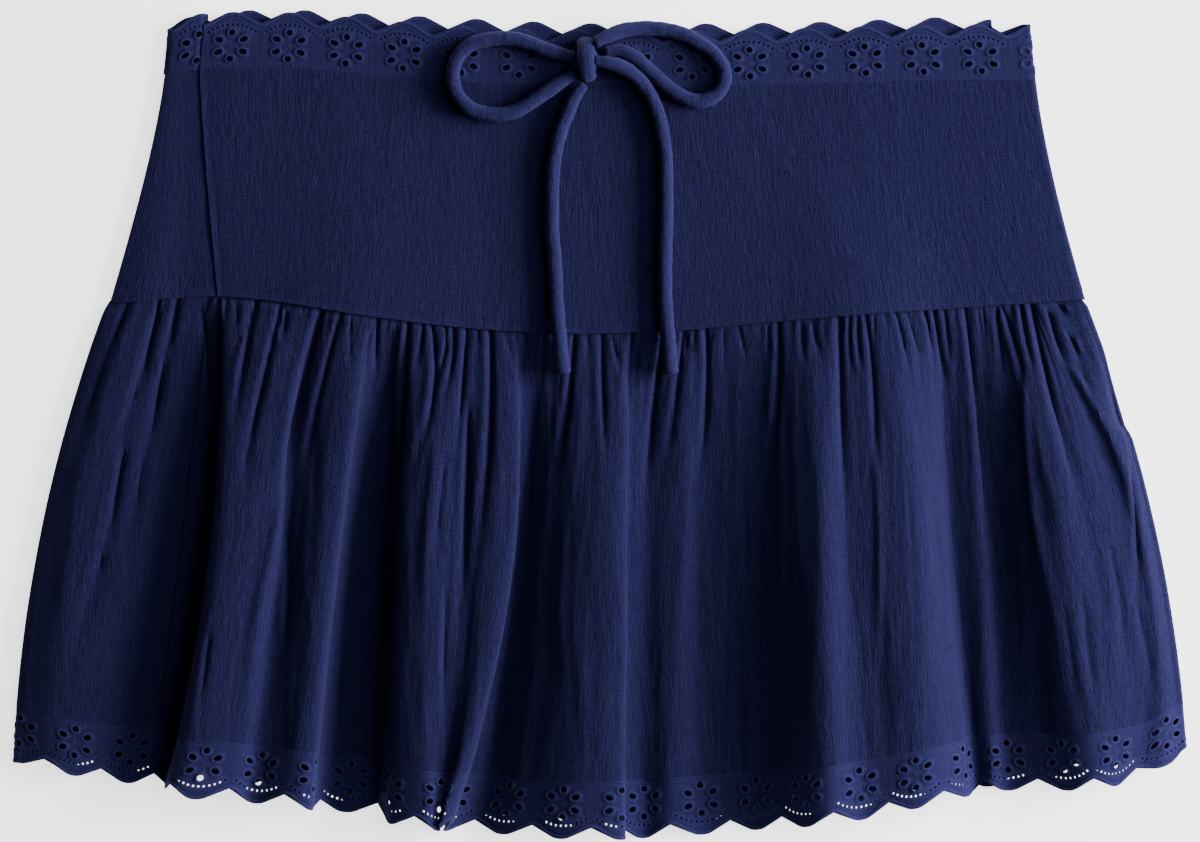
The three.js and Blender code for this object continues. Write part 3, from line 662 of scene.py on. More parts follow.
def crinkle(across, down, pitch_across, pitch_down, seed):
    """Uneven ribs down the cloth that wander and end, from -1 to 1, with pitches in millimetres."""
    u, v = across / pitch_across, down / pitch_down
    u = u + 0.8 * noise(u / 6, v * 0.7, seed + 1)
    v = v + 1.2 * noise(u / 2.3, v * 0.25, seed + 2)
    return mixed(noise(u, v, seed), 1 - 2 * np.abs(noise(u + 40, v, seed + 3)), 0.35)


def eased(value):
    value = np.clip(value, 0, 1)
    return value * value * (3 - 2 * value)


def bead(distance, width):
    """A soft round ridge, one high at its middle."""
    return np.exp(-(distance / width) ** 2)


def outward(points):
    """The direction out of a sheet of rows of points, from top to bottom, each from left to right."""
    return unit(np.cross(np.gradient(points, axis=0), np.gradient(points, axis=1)))


def gauze_shell(name, points, maps, node):
    """A panel of gauze: a closed thin shell round a sheet of rows of points."""
    rows, columns = points.shape[:2]
    half = outward(points) * WALL / 2
    skins = np.concatenate([(points + half).reshape(-1, 3), (points - half).reshape(-1, 3)])
    corner = np.arange(rows * columns).reshape(rows, columns)
    a, b, c, d = corner[:-1, :-1], corner[1:, :-1], corner[1:, 1:], corner[:-1, 1:]
    outer = np.stack([a, b, c, d], axis=-1).reshape(-1, 4)
    inner = outer[:, ::-1] + rows * columns
    border = np.concatenate([corner[0, ::-1], corner[1:, 0], corner[-1, 1:], corner[-2:0:-1, -1]])
    ahead = np.roll(border, -1)
    rim = np.stack([border, border + rows * columns, ahead + rows * columns, ahead], axis=-1)
    flat = maps.reshape(-1, 2)
    faces = np.concatenate([outer, inner, rim]).tolist()
    piece = new_piece(name, skins, faces, np.concatenate([flat, flat]), gauze)
    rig.ride(piece, "root")
    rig.replaces(piece, node)
    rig.slot(piece, "gauze")
    return piece


gauze = cloth_material("navy_gauze", (0.0036, 0.0034, 0.022), (0.0106, 0.0103, 0.056), 1.0, 0.8, 0.9, 0.08)
YOKE_HEIGHT = 105
STITCH_DROP = 2.4  # from the tier's seam up to its row of stitches
LAP = 1.1  # how far a panel's edge dips to pass under the one that is sewn over it
LAP_REACH = 2.8
LAP_START = 0.8
YOKE_CRINKLES = ((0.09, 2.4, 16, 3), (0.07, 6, 7, 5), (0.3, 19, 48, 8))  # height, pitch across and down, seed
UNDER_CALM = 0.3  # how much of the crinkle is left underneath


def lap_dip(across):
    """How far a panel dips before its last edge, where it passes under the next one."""
    return LAP * eased(1 - (across[:, -1:] - across - LAP_START) / LAP_REACH)


def yoke_panel(name, places, widths, step_down, node, laps_under):
    """One panel of the yoke, with a ridge and a row of stitches above the tier's seam."""
    down = np.linspace(0, 1, round(YOKE_HEIGHT / step_down) + 1)[:, None]
    points = yoke_at(places[None], down)
    across, fall = np.broadcast_arrays(widths[None], down * YOKE_HEIGHT)
    upper = ((places < 1) | (places > 4))[None] * np.ones_like(down)
    relief = sum(high * crinkle(across, fall, wide, long, seed) for high, wide, long, seed in YOKE_CRINKLES)
    relief = relief * np.where(upper > 0, 1, UNDER_CALM)
    above = YOKE_HEIGHT - fall
    puckers = 0.12 * crinkle(across, fall, 2.2, 30, 9) * bead(above, 5)
    relief += upper * (0.5 * bead(above, 1.5) + puckers)
    relief -= 0.38 * bead(above - STITCH_DROP, 0.75) + 0.32 * bead(fall - 0.4, 0.8)
    if laps_under:
        relief -= lap_dip(across)
    else:
        relief += 0.3 * bead(across, 1.3) - 0.25 * bead(across - 2.6, 0.8)
    points = points + outward(points) * relief[..., None]
    return gauze_shell(name, points, np.stack([across, fall], axis=-1), node)


under_seam = 2 + WRAP_UNDER


def ring_corners(side_seam, steps, under):
    """The places where a ring's front and back bend: from seam to seam, with those of the underside given."""
    front = [i / steps for i in range(side_seam, steps + 1)] + [1.5, 2, under_seam]
    back = [under_seam, *under, 3, 3.5, 4] + [4 + i / steps for i in range(1, side_seam + 1)]
    return front, back


yoke_steps = len(YOKE_SWELLS) - 1
YOKE_LAP = 0.005  # how far the back's edge goes under the front's at the side seam, in places
YOKE_MIDDLE = 0.6  # how far down the yoke its width is measured
FRONT_STEP = (1.15, 1.6)  # between the points of the mesh, across and down the cloth
BACK_STEP = (2.6, 3.5)
BACK_YOKE_MAP = 500  # where the back yoke starts on the map of the threads
yoke_front_corners, yoke_back_corners = ring_corners(YOKE_SIDE_SEAM, yoke_steps, [2.5])
yoke_back_lapped = yoke_back_corners + [yoke_back_corners[-1] + YOKE_LAP]
places, widths = even_places(yoke_front_corners, lambda p: yoke_at(p, YOKE_MIDDLE), FRONT_STEP[0])
front_yoke = yoke_panel("yoke_front", places, widths, FRONT_STEP[1], "front_yoke", False)
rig.sheet(front_yoke, flat=(widths[-1] * MM, YOKE_HEIGHT * MM), held="laid", rests_on=["back_yoke"])
places, widths = even_places(yoke_back_lapped, lambda p: yoke_at(p, YOKE_MIDDLE), BACK_STEP[0])
back_yoke = yoke_panel("yoke_back", places, widths + BACK_YOKE_MAP, BACK_STEP[1], "back_yoke", True)
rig.sheet(back_yoke, flat=((widths[-1] - widths[0]) * MM, YOKE_HEIGHT * MM), held="laid", rests_on=["surface"])

# Tier: two panels of the gauze, cut about one and a half times as wide as the yoke and drawn up on two
# rows of long stitches. The gathers run down from the seam and open into a few large folds at the hem.
HEM_BACK = (
    (-257, -125.4), (-190, -132.2), (-140, -138), (-95, -143.8), (-50, -149.4), (0, -152.4), (50, -150.4),
    (100, -145.4), (145, -138.2), (190, -133.2), (256, -123.6),
)
TIER_LENGTH = 185
# x at the seam, halfway down and at the hem, y at the hem, and how high each fold stands
TIER_FOLDS = np.array((
    (-215.6, -241.3, -254.3, -125.4, 4.9), (-204, -226.6, -237.6, -128.9, 9), (-186, -200, -211, -132.5, 6),
    (-172, -182.5, -194, -133.4, 3.4), (-169, -173.8, -187, -133.8, 2.6),
    (-167, -169.4, -184.6, -135.1, 10), (-166, -168.4, -184, -136.8, 18.5),
    (-162, -164.6, -180.8, -138, 21.5), (-132, -143, -157.5, -139.6, 19),
    (-127, -137, -149.5, -140.8, 14.5), (-109, -120, -131.5, -142.6, 20),
    (-101.5, -114.5, -125, -143.9, 18.5), (-99.5, -113.2, -123.4, -144.3, 9.5),
    (-95, -107, -118, -145.2, 2.6), (-89.5, -94.8, -98.4, -146.1, 2.6), (-86, -90.9, -94, -147.8, 10),
    (-82, -88, -90.8, -150, 17), (-67, -75, -76.5, -151.8, 22), (-57, -59.8, -67.5, -152.7, 19.5),
    (-46, -44.8, -63, -152.7, 22.5), (-38.4, -38, -57.6, -152.7, 20), (-36.4, -41.2, -60.8, -153.1, 9.5),
    (-31.5, -35, -51, -153.6, 2.6), (-20, -24.5, -34, -154.9, 11), (-3, -5, -9, -156.2, 20),
    (13.5, 11.4, 10.6, -156.2, 19), (14.4, 8.8, 7.6, -156.2, 9.5), (20, 19.5, 19, -156.2, 3.2),
    (41, 35, 31.5, -155.3, 7), (48.5, 43.5, 46, -154.4, 3.6), (70, 69, 70, -152.2, 9),
    (93, 97, 99.5, -149.6, 26), (106, 108.5, 114, -147.4, 20.5), (130, 139, 143, -142.1, 22),
    (141.5, 148, 157, -139, 12), (149, 154, 163, -137.3, 3), (159.5, 166.2, 171.5, -136.8, 6.5),
    (164, 171, 177.5, -136.4, 3.5), (174, 184, 195, -136, 10), (184, 199, 214, -135.5, 18.5),
    (194, 231, 239, -131.1, 11), (207, 235.5, 247, -126.7, 10), (211.6, 239.1, 253.9, -123.2, 4.9),
))
TIER_SIDE_SEAM = 3  # its row in the table
fold_count = len(TIER_FOLDS) - 1
hem_back_y = line_through(HEM_BACK)
TIER_SWELL = 3.2  # how soon below the seam the folds stand up


def tier_at(place, down):
    """A point of the tier, down from 0 at its seam to 1 at its lower edge, and on over the hem's trim."""
    place, down = np.broadcast_arrays(place, down)
    swell = 1 - np.maximum(1 - down, 0) ** TIER_SWELL

    def row_point(i):
        seam, middle, hem, hem_y, rise = np.moveaxis(TIER_FOLDS[i], -1, 0)
        y = mixed(tier_seam_y(seam) - SEAM_GAP, hem_y, down)
        return np.stack([bowed(seam, middle, hem, down), y, mixed(yoke_rise(seam), rise, swell)], axis=-1)

    def top(t):
        points = curve_through(t, len(TIER_FOLDS), row_point)
        points[..., 2] = np.maximum(points[..., 2], CLOTH * 1.5 + 2 * SEAM_GAP)
        return points

    return round_ring(place, top, lambda x: mixed(tier_back_y(x) - SEAM_GAP, hem_back_y(x), down))


# The creases of the front, which the light shows: x and y of the upper end, x halfway down, x and y of the
# lower end, half the width, and the depth. Where the depth is below 0 it is a ridge.
CREASES = (
    (-208.5, 52, -218.4, -227, -3, 1.1, 1.7), (-202.5, 52, -206.3, -208, 30, 0.8, 1),
    (-194.5, 51, -202.3, -213, -12, 1.5, 2.5), (-210, -16, -218.3, -231, -97, 1.5, 2.2),
    (-186.5, 50, -198, -209, -60, 1.4, 2.4), (-175, 50, -172.6, -177, -13, 1.2, 1.8),
    (-229, -25, -234, -238.5, -95, 2.2, -0.8), (-154, 50, -157.6, -161, 28, 0.9, 1.3),
    (-151.8, 51, -156.3, -160.3, 3, 1.3, 2.5), (-140.5, 50, -148.8, -156.5, -22, 1.3, 2.4),
    (-137.5, 50, -138.6, -139.8, 36, 1, 1.6), (-123, 47.5, -135, -138.5, -62, 2, 3.6),
    (-114.3, 47, -122.5, -128.7, -16, 1.1, 2), (-139.5, -35, -149.5, -156.5, -128, 2.2, -1.3),
    (-136.5, -62, -137, -138.5, -98, 1.3, 1.4), (-171.5, -95, -173.5, -175, -130, 1.4, 1.2),
    (-109.5, 46, -109.6, -110, 25, 0.8, 0.9), (-97.5, 45, -98.2, -98.4, 20, 1, 1.3),
    (-84.5, 44, -86.2, -88, -12, 1.3, 2.6), (-78, 44, -79, -81, 22, 0.9, 1.6),
    (-73.8, 43, -73, -80, -14, 1.3, 2.6), (-67.8, 43, -68.2, -71.5, 19, 1, 1.7),
    (-64.3, 43, -65, -69, 10, 1.1, 1.9), (-58.6, 42, -60.3, -62.3, -8, 1.2, 2.2),
    (-57.8, -2, -58.8, -60.4, -76, 1.5, 2.8), (-48.2, 40, -48.7, -53.2, -50, 1.4, 2.8),
    (-68.5, -20, -70.5, -71.5, -58, 1.1, 0.9), (-72.5, -15, -76, -76.5, -90, 1.8, -0.9),
    (-67.5, -80, -68.3, -68.5, -130, 1.2, 1.1), (-11.5, 36, -14.5, -19, -22, 1.3, 2.6),
    (0.6, 40, 1.2, 2.4, -14, 1.1, 2.2), (5.2, 39, 6.8, 9, 24, 0.9, 1.3), (14, 38, 12.4, 13, 4, 1.3, 2.2),
    (26.3, 33, 22.7, 19.5, -30, 1.2, 2.4), (36.3, 40, 33.6, 30, -12, 1.2, 2.2),
    (38.6, 38, 38.5, 38, 28, 0.8, 1.3), (46.6, 41, 46.8, 43.5, -21, 1.3, 2.4),
    (61.8, 41, 62.6, 63.8, 30, 0.8, 1.2), (78.4, 43, 78, 75.5, -14, 1.2, 2.4),
    (88.2, 44, 88.8, 90.5, 26, 1, 1.4), (92.8, 45, 95, 97.5, 28, 1, 1.3),
    (105, 46, 105.8, 107.5, -40, 1.9, 2.8), (109.5, 46, 109.6, 110.5, 22, 1, 1.6),
    (113.2, 46, 113.3, 114.8, 24, 1, 1.7), (116.8, 47, 120, 120.8, -18, 1.1, 2),
    (121, -20, 122.5, 121, -105, 1.4, -1), (130.3, 48, 133.3, 136, 22, 1, 1.5),
    (135.3, 48, 138.3, 142, 26, 1, 1.3), (142.8, 49, 145.5, 146.5, 24, 1.2, 2.2),
    (147, 49, 149.3, 151.5, 18, 1.2, 2.2), (151.6, 49, 152.8, 154, 26, 1, 1.5),
    (160.8, 48, 166, 169, -45, 1.3, 2.4), (174.3, 49, 175.5, 176.8, 24, 1, 1.3),
    (177.5, 49, 182.7, 186.5, 17, 1.1, 2), (185.3, 49, 187.3, 190.5, 24, 1.1, 1.9),
    (190.4, 48, 198.2, 207.5, -25, 1.6, 2.8), (197.3, 49.5, 200.8, 206.5, 21, 1.1, 1.9),
    (202.6, 50.5, 208.6, 214.5, 15, 1.2, 2.3), (207.3, 51, 211.6, 217.5, 21, 1.5, 1.0),
    (210, 19, 227.5, 234.5, -50, 2.4, -1.9), (233.5, -25, 235.7, 236.5, -80, 1.1, 1.7),
    (186.5, 10, 190.5, 200.5, -90, 2, -1.2), (212, -80, 214, 216.5, -118, 1.6, 1),
    (225, -60, 229, 231, -110, 1.8, 0.9), (237, -85, 240, 242.5, -115, 1.5, 1.1),
    (204, -85, 207, 210, -128, 1.8, 0.9),
)
CREASE_RIDGE = 0.26  # height of the ridge beside a crease, as a share of its depth
GATHER_PITCH = 3.1
GATHER_SEED = 21
SHORT_GATHERS, LONG_GATHERS = (3, 9), (9, 24)  # from the shortest to the longest reach of each kind
SHORT_SHARE = 0.6
GATHERED = (-214.0, 212)  # x at the seam, from the first gather to the last
GATHER_CALM = 12  # over which they fade towards the right fold
CLEAR_OF_BACK = 1.72  # lowest height of the front's middle
TIER_MAP, BACK_TIER_MAP = 110, 700  # where the tier and its back start on the map of the threads


def gather_relief(seam_x, fall):
    """The short gathers below the seam: narrow troughs, uneven in depth, slant and reach."""
    chance = np.random.RandomState(GATHER_SEED)
    relief = np.zeros_like(seam_x)
    at = GATHERED[0]
    while at < GATHERED[1]:
        reach = chance.uniform(*(SHORT_GATHERS if chance.uniform() < SHORT_SHARE else LONG_GATHERS))
        depth, width = chance.uniform(0.4, 0.9) + reach / 60, chance.uniform(0.55, 0.95)
        drift, sway = chance.uniform(-0.14, 0.14), chance.uniform(-0.5, 0.5)
        off = seam_x - at - drift * fall - sway * np.sin(fall / 9 + at)
        spread = width * (1 + fall / 40)
        window = np.clip((fall + 3) / 5, 0, 1) * np.clip(1 - fall / reach, 0, 1) ** 0.8
        trough = np.exp(-(np.abs(off) / spread) ** 1.4)
        relief += depth * window * (0.4 * bead(off + 2.3 * spread, 1.5 * spread) - trough)
        at += GATHER_PITCH * chance.uniform(0.4, 1.7)
    return relief


def crease_relief(points):
    """The listed creases, each a trough with a low soft ridge on its left."""
    x, y = points[..., 0], points[..., 1]
    relief = np.zeros_like(x)
    for x_top, y_top, x_middle, x_low, y_low, width, depth in CREASES:
        share = (y_top - y) / (y_top - y_low)
        held = np.clip(share, -0.1, 1.1)
        line = bowed(x_top, x_middle, x_low, held)
        fade = np.clip(share * 6 + 1, 0, 1) * np.clip((1.1 - share) * 1.7, 0, 1)
        off = (x - line) / (width * (0.8 + 0.4 * np.clip(share, 0, 1)))
        relief += fade * depth * (CREASE_RIDGE * bead(off + 2.1, 1.5) - np.exp(-np.abs(off) ** 1.5))
    return relief


TIER_CRINKLES = (  # height, pitch across and down, seed, share at the seam, the fall over which it grows
    (0.16, 2.4, 18, 13, 1, math.inf), (0.1, 5, 6, 17, 1, math.inf), (0.34, 4.6, 38, 23, 0.3, 30),
    (0.6, 10, 62, 19, 0, 35),
)
NOTCH = 2.8  # how deep the right fold is pinched in above the crease that reaches it
NOTCH_LOW, NOTCH_HIGH = -4.5, 34


def tier_relief(place, points, across, fall):
    """How far the cloth stands out from the fold that carries it."""
    turn = place % 4
    under = (turn >= 2) & (turn < 3)
    seam_x = np.interp(np.clip(turn, 0, 1) * fold_count, np.arange(fold_count + 1), TIER_FOLDS[:, 0])
    seam_x = np.where(under, mixed(TIER_FOLDS[-1, 0], TIER_FOLDS[0, 0], turn - 2), seam_x)
    on_top = np.clip(np.minimum(turn, 1 - turn) * fold_count * 2, 0, 1) * (turn < 1)
    calm = np.clip((TIER_FOLDS[-1, 0] - 0.6 - seam_x) / GATHER_CALM, 0, 1)
    relief = gather_relief(seam_x, fall) * np.where(under, UNDER_CALM, on_top * calm)
    relief += crease_relief(points) * on_top
    fine = sum(high * crinkle(across, fall, wide, long, seed) * np.clip(start + fall / reach, 0, 1)
               for high, wide, long, seed, start, reach in TIER_CRINKLES)
    relief += fine * np.where(on_top > 0, 1, 0.25)
    y = points[..., 1]
    pinched = eased((y - NOTCH_LOW) / 4) * eased((NOTCH_HIGH - y) / 30)
    relief -= NOTCH * pinched * np.clip((turn - 0.965) / 0.03, 0, 1) * np.clip((2 - turn) * 2, 0, 1)
    return relief - LAP * eased(1 - fall / LAP_REACH)


def tier_panel(name, places, widths, rows, node, laps_under):
    """One panel of the tier. Its rows are shares of its length from the seam down."""
    down = rows[:, None]
    base = tier_at(places[None], down)
    across, fall, place = np.broadcast_arrays(widths[None], down * TIER_LENGTH, places[None])
    relief = tier_relief(place, base, across, fall)
    if laps_under:
        relief = relief - lap_dip(across)
    points = base + outward(base) * relief[..., None]
    lowest = np.where((place < 1) | (place > 4), CLEAR_OF_BACK, WALL / 2)
    points[..., 2] = np.maximum(points[..., 2], lowest)
    return gauze_shell(name, points, np.stack([across, fall + TIER_MAP], axis=-1), node)


TIER_LAP = 0.0044  # as the yoke's
TIER_TOP = -0.01  # the tier begins a little above its seam, under the yoke's edge
TIER_CLOSE_ROWS = 0.16  # the rows of its mesh are closer together down to here
TIER_MIDDLE = 0.55  # how far down the tier its width is measured
TIER_FRONT_STEP, TIER_BACK_STEP = 0.97, 2.4
tier_front_corners, tier_back_corners = ring_corners(TIER_SIDE_SEAM, fold_count, [2.35, 2.7])
tier_back_lapped = tier_back_corners + [tier_back_corners[-1] + TIER_LAP]
close_rows = np.linspace(TIER_TOP, TIER_CLOSE_ROWS, 20, endpoint=False)
rows = np.concatenate([close_rows, np.linspace(TIER_CLOSE_ROWS, 1, 47)])
places, widths = even_places(tier_front_corners, lambda p: tier_at(p, TIER_MIDDLE), TIER_FRONT_STEP)
front_tier = tier_panel("tier_front", places, widths, rows, "front_tier", False)
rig.sheet(front_tier, flat=(widths[-1] * MM, TIER_LENGTH * MM), held="gathered", rests_on=["back_tier"])
places, widths = even_places(tier_back_lapped, lambda p: tier_at(p, TIER_MIDDLE), TIER_BACK_STEP)
rows = np.linspace(TIER_TOP, 1, 50)
back_tier = tier_panel("tier_back", places, widths + BACK_TIER_MAP, rows, "back_tier", True)
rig.sheet(back_tier, flat=((widths[-1] - widths[0]) * MM, TIER_LENGTH * MM), held="gathered",
         rests_on=["surface"])

# Eyelet trims: cotton batiste embroidered by machine, one scallop and one flower of six eyelets every
# 25.5 mm. One band stands up from the waist's seam and one hangs from the tier's edge, front and back.
TRIM_WIDTH = 24.5
SCALLOP_DEPTH = 5
REPEAT = 25.5
WAIST_HALF = 191
WAIST_LEAN = 0.1
FLOWER_DROP = 9.7  # from the seam to a flower's centre
EYELETS = (  # of one flower: along and down from its centre, long and wide half axes, slant
    (5.45, 2.75, 1.8, 1.15, 18), (5.45, -2.75, 1.8, 1.15, -18), (-5.45, 2.75, 1.8, 1.15, -18),
    (-5.45, -2.75, 1.8, 1.15, 18), (0, 5.77, 1.35, 1.25, 0), (0, -5.77, 1.35, 1.25, 0),
)
RIM = 1.15  # width of the embroidery round an eyelet
RIM_HEIGHT = 0.32
PINHOLE = 0.5
PINHOLE_PITCH = 2.2
PINHOLES = 11  # to a scallop
PINHOLE_INSET = 5.5  # from the scallop's tip
PINHOLE_BEND = 18.8  # radius of the arc that they lie on
SATIN = 1.7  # width of the stitched edge
TRIM_WALL = 0.55
THIN = 0.12  # how high the cut edge of an eyelet stands
DENT = -0.2  # how low the middle of an eyelet is that isn't cut
RIM_RINGS = ((0, THIN), (RIM * 0.38, RIM_HEIGHT), (RIM * 0.75, RIM_HEIGHT * 0.8), (RIM, 0))  # out and up
SCALLOP_POINT = 2.4  # how round the scallops' tips are: 1 is sharp
# lines along the band, each its distance from the scalloped edge or from the seam, and its height
EDGE_LINES = (
    (0, 0.06), (0.4, 0.3), (SATIN - 0.5, 0.28), (SATIN, 0.02), (2.4, 0.0), (2.75, 0.16), (3.15, 0.0),
)
SEAM_LINES = ((0, 0.0), (0.4, 0.14), (1.0, -0.1), (1.7, 0.1), (2.3, 0))


def scallop(along):
    """How far the trim's edge is from its seam, at a distance from the middle of a scallop."""
    return TRIM_WIDTH - SCALLOP_DEPTH * np.sin(math.pi * np.abs(along) / REPEAT) ** SCALLOP_POINT


def trim_repeat(cut):
    """One repeat lying flat: points along, down from the seam and up, and its triangles."""
    points, edges, holes = [], [], []

    def ring(centre, long, wide, slant, grow, height, count):
        start = len(points)
        c, s = math.cos(math.radians(slant)), math.sin(math.radians(slant))
        for k in range(count):
            turn = 2 * math.pi * (k + 0.5) / count
            u, v = (long + grow) * math.cos(turn), (wide + grow) * math.sin(turn)
            points.append((centre[0] + u * c - v * s, centre[1] + u * s + v * c, height))
            edges.append((start + k, start + (k + 1) % count))

    for along, down, long, wide, slant in EYELETS:
        centre = (along, FLOWER_DROP + down)
        for grow, height in RIM_RINGS:
            ring(centre, long, wide, slant, grow, height, 14)
        points.append((*centre, DENT))
        holes.append((*centre, long, wide, slant))
    for k in range(PINHOLES):
        turn = (k - (PINHOLES - 1) / 2) * PINHOLE_PITCH / PINHOLE_BEND
        sag = PINHOLE_BEND * (1 - math.cos(turn))
        centre = (PINHOLE_BEND * math.sin(turn), TRIM_WIDTH - PINHOLE_INSET - sag)
        ring(centre, PINHOLE, PINHOLE, 0, 0, 0.08, 7)
        ring(centre, PINHOLE, PINHOLE, 0, 0.32, 0.2, 7)
        points.append((*centre, DENT))
        holes.append((*centre, PINHOLE, PINHOLE, 0))
    half = REPEAT / 2

    def line(count, down_at, height):
        start = len(points)
        points.extend((a, down_at(a), height) for a in np.linspace(-half, half, count))
        edges.extend((start + i, start + i + 1) for i in range(count - 1))

    for inset, height in EDGE_LINES:
        line(29, lambda a: scallop(a) - inset, height)
    for down, height in SEAM_LINES:
        line(15, lambda a: down, height)
    # the centre's crossed threads, as a low star
    for k in range(6):
        turn = math.radians(30 + 60 * k)
        points.append((1.1 * math.cos(turn), FLOWER_DROP + 1.1 * math.sin(turn), 0.0))
    points.append((0, FLOWER_DROP, 0.3))
    for down in np.arange(3.4, TRIM_WIDTH - 9, 1.7):
        for along in np.linspace(-half, half, 16):
            near = min(math.hypot((along - x) / (long + RIM + 0.5), (down - y) / (wide + RIM + 0.5))
                       for x, y, long, wide, _ in holes)
            if near > 1 or abs(along) == half:
                points.append((along, down, 0.0))
    flat = [Vector(p[:2]) for p in points]
    out, _, faces, origin, _, _ = geometry.delaunay_2d_cdt(flat, edges, [], 0, 1e-4)
    heights = [max(points[i][2] for i in group) if group else 0.0 for group in origin]

    def in_hole(x, y):
        for hx, hy, long, wide, slant in holes:
            c, s = math.cos(math.radians(slant)), math.sin(math.radians(slant))
            u, v = (x - hx) * c + (y - hy) * s, -(x - hx) * s + (y - hy) * c
            if (u / long) ** 2 + (v / wide) ** 2 < 0.93:
                return True
        return False

    kept = [f for f in faces if not (cut and in_hole(*(sum((out[i] for i in f), Vector((0, 0))) / len(f))))]
    return np.array([(p.x, p.y, h) for p, h in zip(out, heights)]), kept


batiste = cloth_material("batiste", (0.0066, 0.0062, 0.034), (0.0128, 0.0122, 0.060), 0.5, 0.5, 0.4, 0.06,
                         stitched=(0.0150, 0.0145, 0.068))
REPEAT_CUT, REPEAT_CLOSED = trim_repeat(True), trim_repeat(False)
UNDER_FROM, UNDER_TO = 1.6, 3.5  # places between which a band lies underneath
EMBROIDERED = 0.25  # how high it stands where it is all embroidery


def trim_band(name, corners, point_at, start, node, wall_out, rests_on, laps_under):
    """A band of trim along a ring. start is the length of trim before its first place. Its eyelets are cut
    through where it shows, and only embroidered where another layer or the surface covers it."""
    fine = fine_places(corners)
    length = length_along(point_at(fine, np.zeros_like(fine)))
    low, high = SEAM_GAP / 2, length[-1] - (0 if laps_under else SEAM_GAP / 2)
    flat = bmesh.new()
    repeats = range(math.floor(start / REPEAT), math.ceil((start + length[-1]) / REPEAT))
    for k in repeats:
        middle = (k + 0.5) * REPEAT - start
        covered = UNDER_FROM < np.interp(middle, length, fine) < UNDER_TO
        spots, faces = REPEAT_CLOSED if covered else REPEAT_CUT
        verts = [flat.verts.new((x + middle, y, z)) for x, y, z in spots]
        for face in faces:
            flat.faces.new([verts[i] for i in face])
    bmesh.ops.remove_doubles(flat, verts=flat.verts, dist=0.01)
    for x, way in ((low, -1), (high, 1)):
        everything = flat.verts[:] + flat.edges[:] + flat.faces[:]
        bmesh.ops.bisect_plane(
            flat, geom=everything, plane_co=(x, 0, 0), plane_no=(way, 0, 0), clear_outer=True)
    loose = [v for v in flat.verts if not v.link_faces]
    bmesh.ops.delete(flat, geom=loose, context="VERTS")
    flat.verts.index_update()
    spots = np.array([tuple(v.co) for v in flat.verts])
    faces = [[v.index for v in f.verts] for f in flat.faces]
    open_sides = [e.link_loops[0] for e in flat.edges if len(e.link_loops) == 1]
    walls = [(side.vert.index, side.link_loop_next.vert.index) for side in open_sides]
    flat.free()

    def surface_at(along, down):
        return point_at(np.interp(along, length, fine), down)

    along, down, height = spots.T
    here = surface_at(along, down)
    step = 0.4
    normal = wall_out * unit(np.cross(surface_at(along, down + step) - surface_at(along, down - step),
                                      surface_at(along + step, down) - surface_at(along - step, down)))
    if laps_under:
        here = here - normal * (LAP * eased(1 - (high - along - LAP_START) / LAP_REACH))[:, None]
    count = len(here)
    outer, inner = here + normal * (TRIM_WALL / 2 + height)[:, None], here - normal * TRIM_WALL / 2
    points = np.concatenate([outer, inner])
    points[:, 2] = np.maximum(points[:, 2], 0.02)
    skins = [f if wall_out < 0 else f[::-1] for f in faces]
    skins += [[i + count for i in f[::-1]] for f in skins]
    rims = [(b, a, a + count, b + count) if wall_out < 0 else (a, b, b + count, a + count) for a, b in walls]
    flat_map = np.stack([along + start, down], axis=-1)
    maps = np.concatenate([flat_map, flat_map])
    piece = new_piece(name, points, skins + rims, maps, batiste, math.radians(60))
    embroidery = piece.data.attributes.new("embroidery", "FLOAT", "POINT")
    raised = np.clip(height / EMBROIDERED, 0, 1)
    embroidery.data.foreach_set("value", np.concatenate([raised, raised]).astype(np.float32))
    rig.ride(piece, "root")
    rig.replaces(piece, node)
    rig.slot(piece, "trim")
    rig.sheet(piece, flat=(length[-1] * MM, TRIM_WIDTH * MM), held="laid", rests_on=rests_on)
    return piece


def waist_trim_at(place, away):
    """A point of the waist's trim, which stands up from its seam, leans in a little and waves slightly."""
    seam = yoke_at(place, np.zeros_like(place))
    wave = 0.5 * np.sin(seam[..., 0] / 17) * np.clip(away / TRIM_WIDTH, 0, 1) * ((place % 4) < 1)
    x = seam[..., 0] * (1 - WAIST_LEAN * away / WAIST_HALF)
    return np.stack([x, seam[..., 1] + away, seam[..., 2] + wave], axis=-1)


def hem_trim_at(place, away):
    return tier_at(place, 1 + away / TIER_LENGTH)


trim_band("waist_trim_shown", yoke_front_corners + [under_seam + YOKE_LAP], waist_trim_at, 0,
          "waist_trim_front", -1, ["waist_trim_back"], False)
trim_band("waist_trim_behind", yoke_back_lapped, waist_trim_at, REPEAT / 2,
          "waist_trim_back", -1, ["surface"], True)
trim_band("hem_trim_shown", tier_front_corners, hem_trim_at, 0, "hem_trim_front", 1, ["hem_trim_back"], False)
trim_band("hem_trim_behind", tier_back_lapped, hem_trim_at, 0, "hem_trim_back", 1, ["surface"], True)

# Stitches: rows of machine stitches in navy thread, above the tier's seam, which holds the gathers down,
# and along the trims' seams at the waist and the hem. Each stitch is a short bent thread.
thread = cloth_material("navy_thread", (0.0050, 0.0048, 0.028), (0.0130, 0.0125, 0.064), 0.2, 1.0, 0.4, 0.06)
STITCH_SHAPE = (  # where along the stitch, how thick there, and how far out
    (-0.5, 0.25, -0.1), (-0.36, 0.85, 0.08), (0, 1.0, 0.14), (0.36, 0.85, 0.08), (0.5, 0.25, -0.1),
)


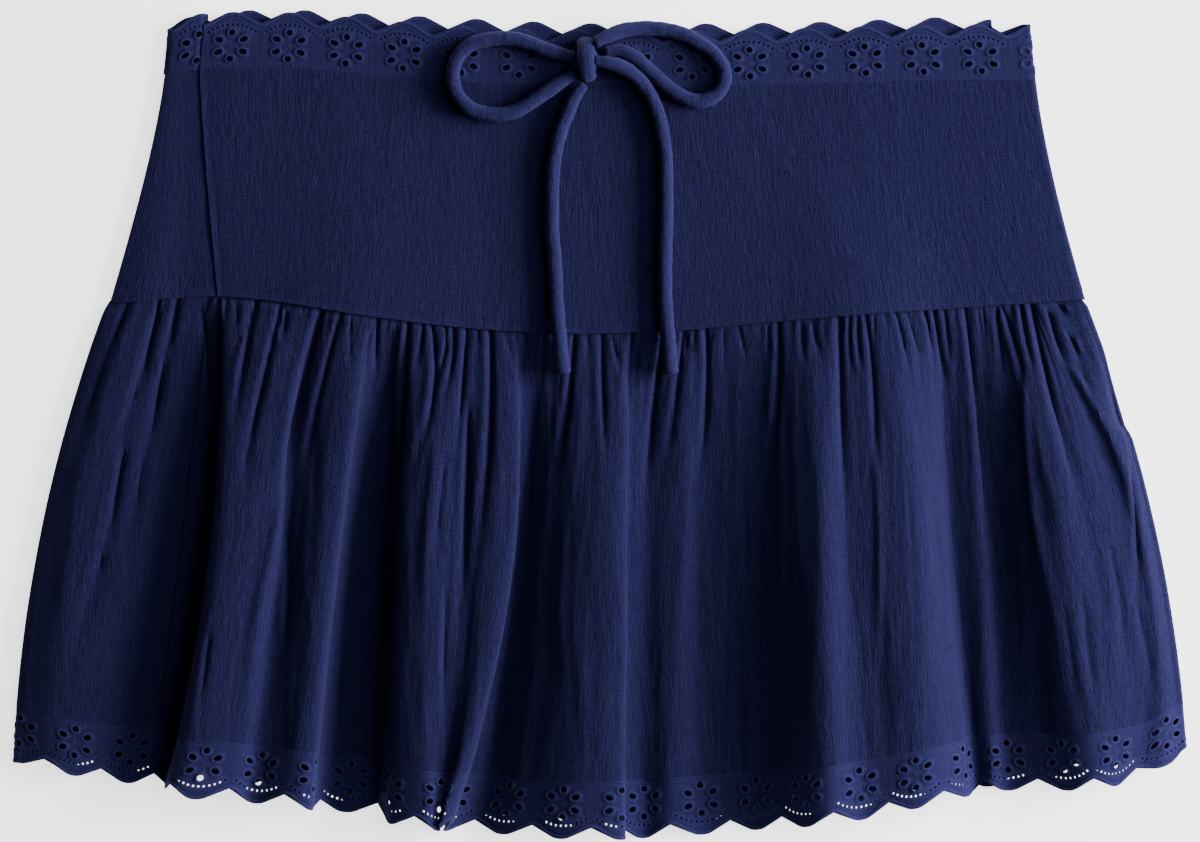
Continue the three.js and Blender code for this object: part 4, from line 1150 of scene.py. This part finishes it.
def stitch_row(name, corners, point_at, pitch, length, thick, lift, slot):
    """A row of stitches on a ring of cloth. point_at gives the cloth at a place and some way off the row."""
    places, _ = even_places(corners, lambda p: point_at(p, np.zeros_like(p)), pitch)
    places = (places[:-1] + places[1:]) / 2
    on_row = np.zeros_like(places)
    here = point_at(places, on_row)
    nudge = 0.0004
    along = unit(point_at(places + nudge, on_row) - point_at(places - nudge, on_row))
    out = unit(np.cross(point_at(places, on_row + 0.5) - point_at(places, on_row - 0.5), along))
    side = np.cross(out, along)
    points, faces, maps = [], [], []
    for spot, ahead, up, across in zip(here, along, out, side):
        rings = [(spot + ahead * share * length + up * (lift + arch), thick * size, share * length + spot[0])
                 for share, size, arch in STITCH_SHAPE]
        add_thread(points, faces, maps, rings, across, up, 0.3)
    points = np.array(points)
    points[:, 2] = np.maximum(points[:, 2], 0.02)
    piece = new_piece(name, points, faces, maps, thread, math.radians(60))
    turn_faces_out()
    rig.ride(piece, "root")
    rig.slot(piece, slot)


TRIM_STITCH_INSET = 1.0


def above_tier_seam(place, off):
    return yoke_at(place, 1 - (STITCH_DROP - off) / YOKE_HEIGHT)


def on_waist_trim(place, off):
    return waist_trim_at(place, TRIM_STITCH_INSET - off)


def on_hem_trim(place, off):
    return hem_trim_at(place, TRIM_STITCH_INSET + off)


# the pitch, length and radius of the stitches, and how high they lie on the cloth
SEAM_STITCHES = (2.5, 1.75, 0.2, WALL / 2 - 0.28)
TRIM_STITCHES = (1.8, 1.2, 0.17, TRIM_WALL / 2 - 0.1)
for side, yoke_corners, tier_corners in (("front", yoke_front_corners, tier_front_corners),
                                         ("back", yoke_back_corners, tier_back_corners)):
    stitch_row(f"seam_stitches_{side}", yoke_corners, above_tier_seam, *SEAM_STITCHES, "gauze")
    stitch_row(f"waist_stitches_{side}", yoke_corners, on_waist_trim, *TRIM_STITCHES, "trim")
    stitch_row(f"hem_stitches_{side}", tier_corners, on_hem_trim, *TRIM_STITCHES, "trim")

visual_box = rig.bounds()
with open("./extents.json", "w") as sizes:
    json.dump({"cad": [list(map(float, corner)) for corner in cad_box],
               "visual": [list(map(float, corner)) for corner in visual_box]}, sizes)
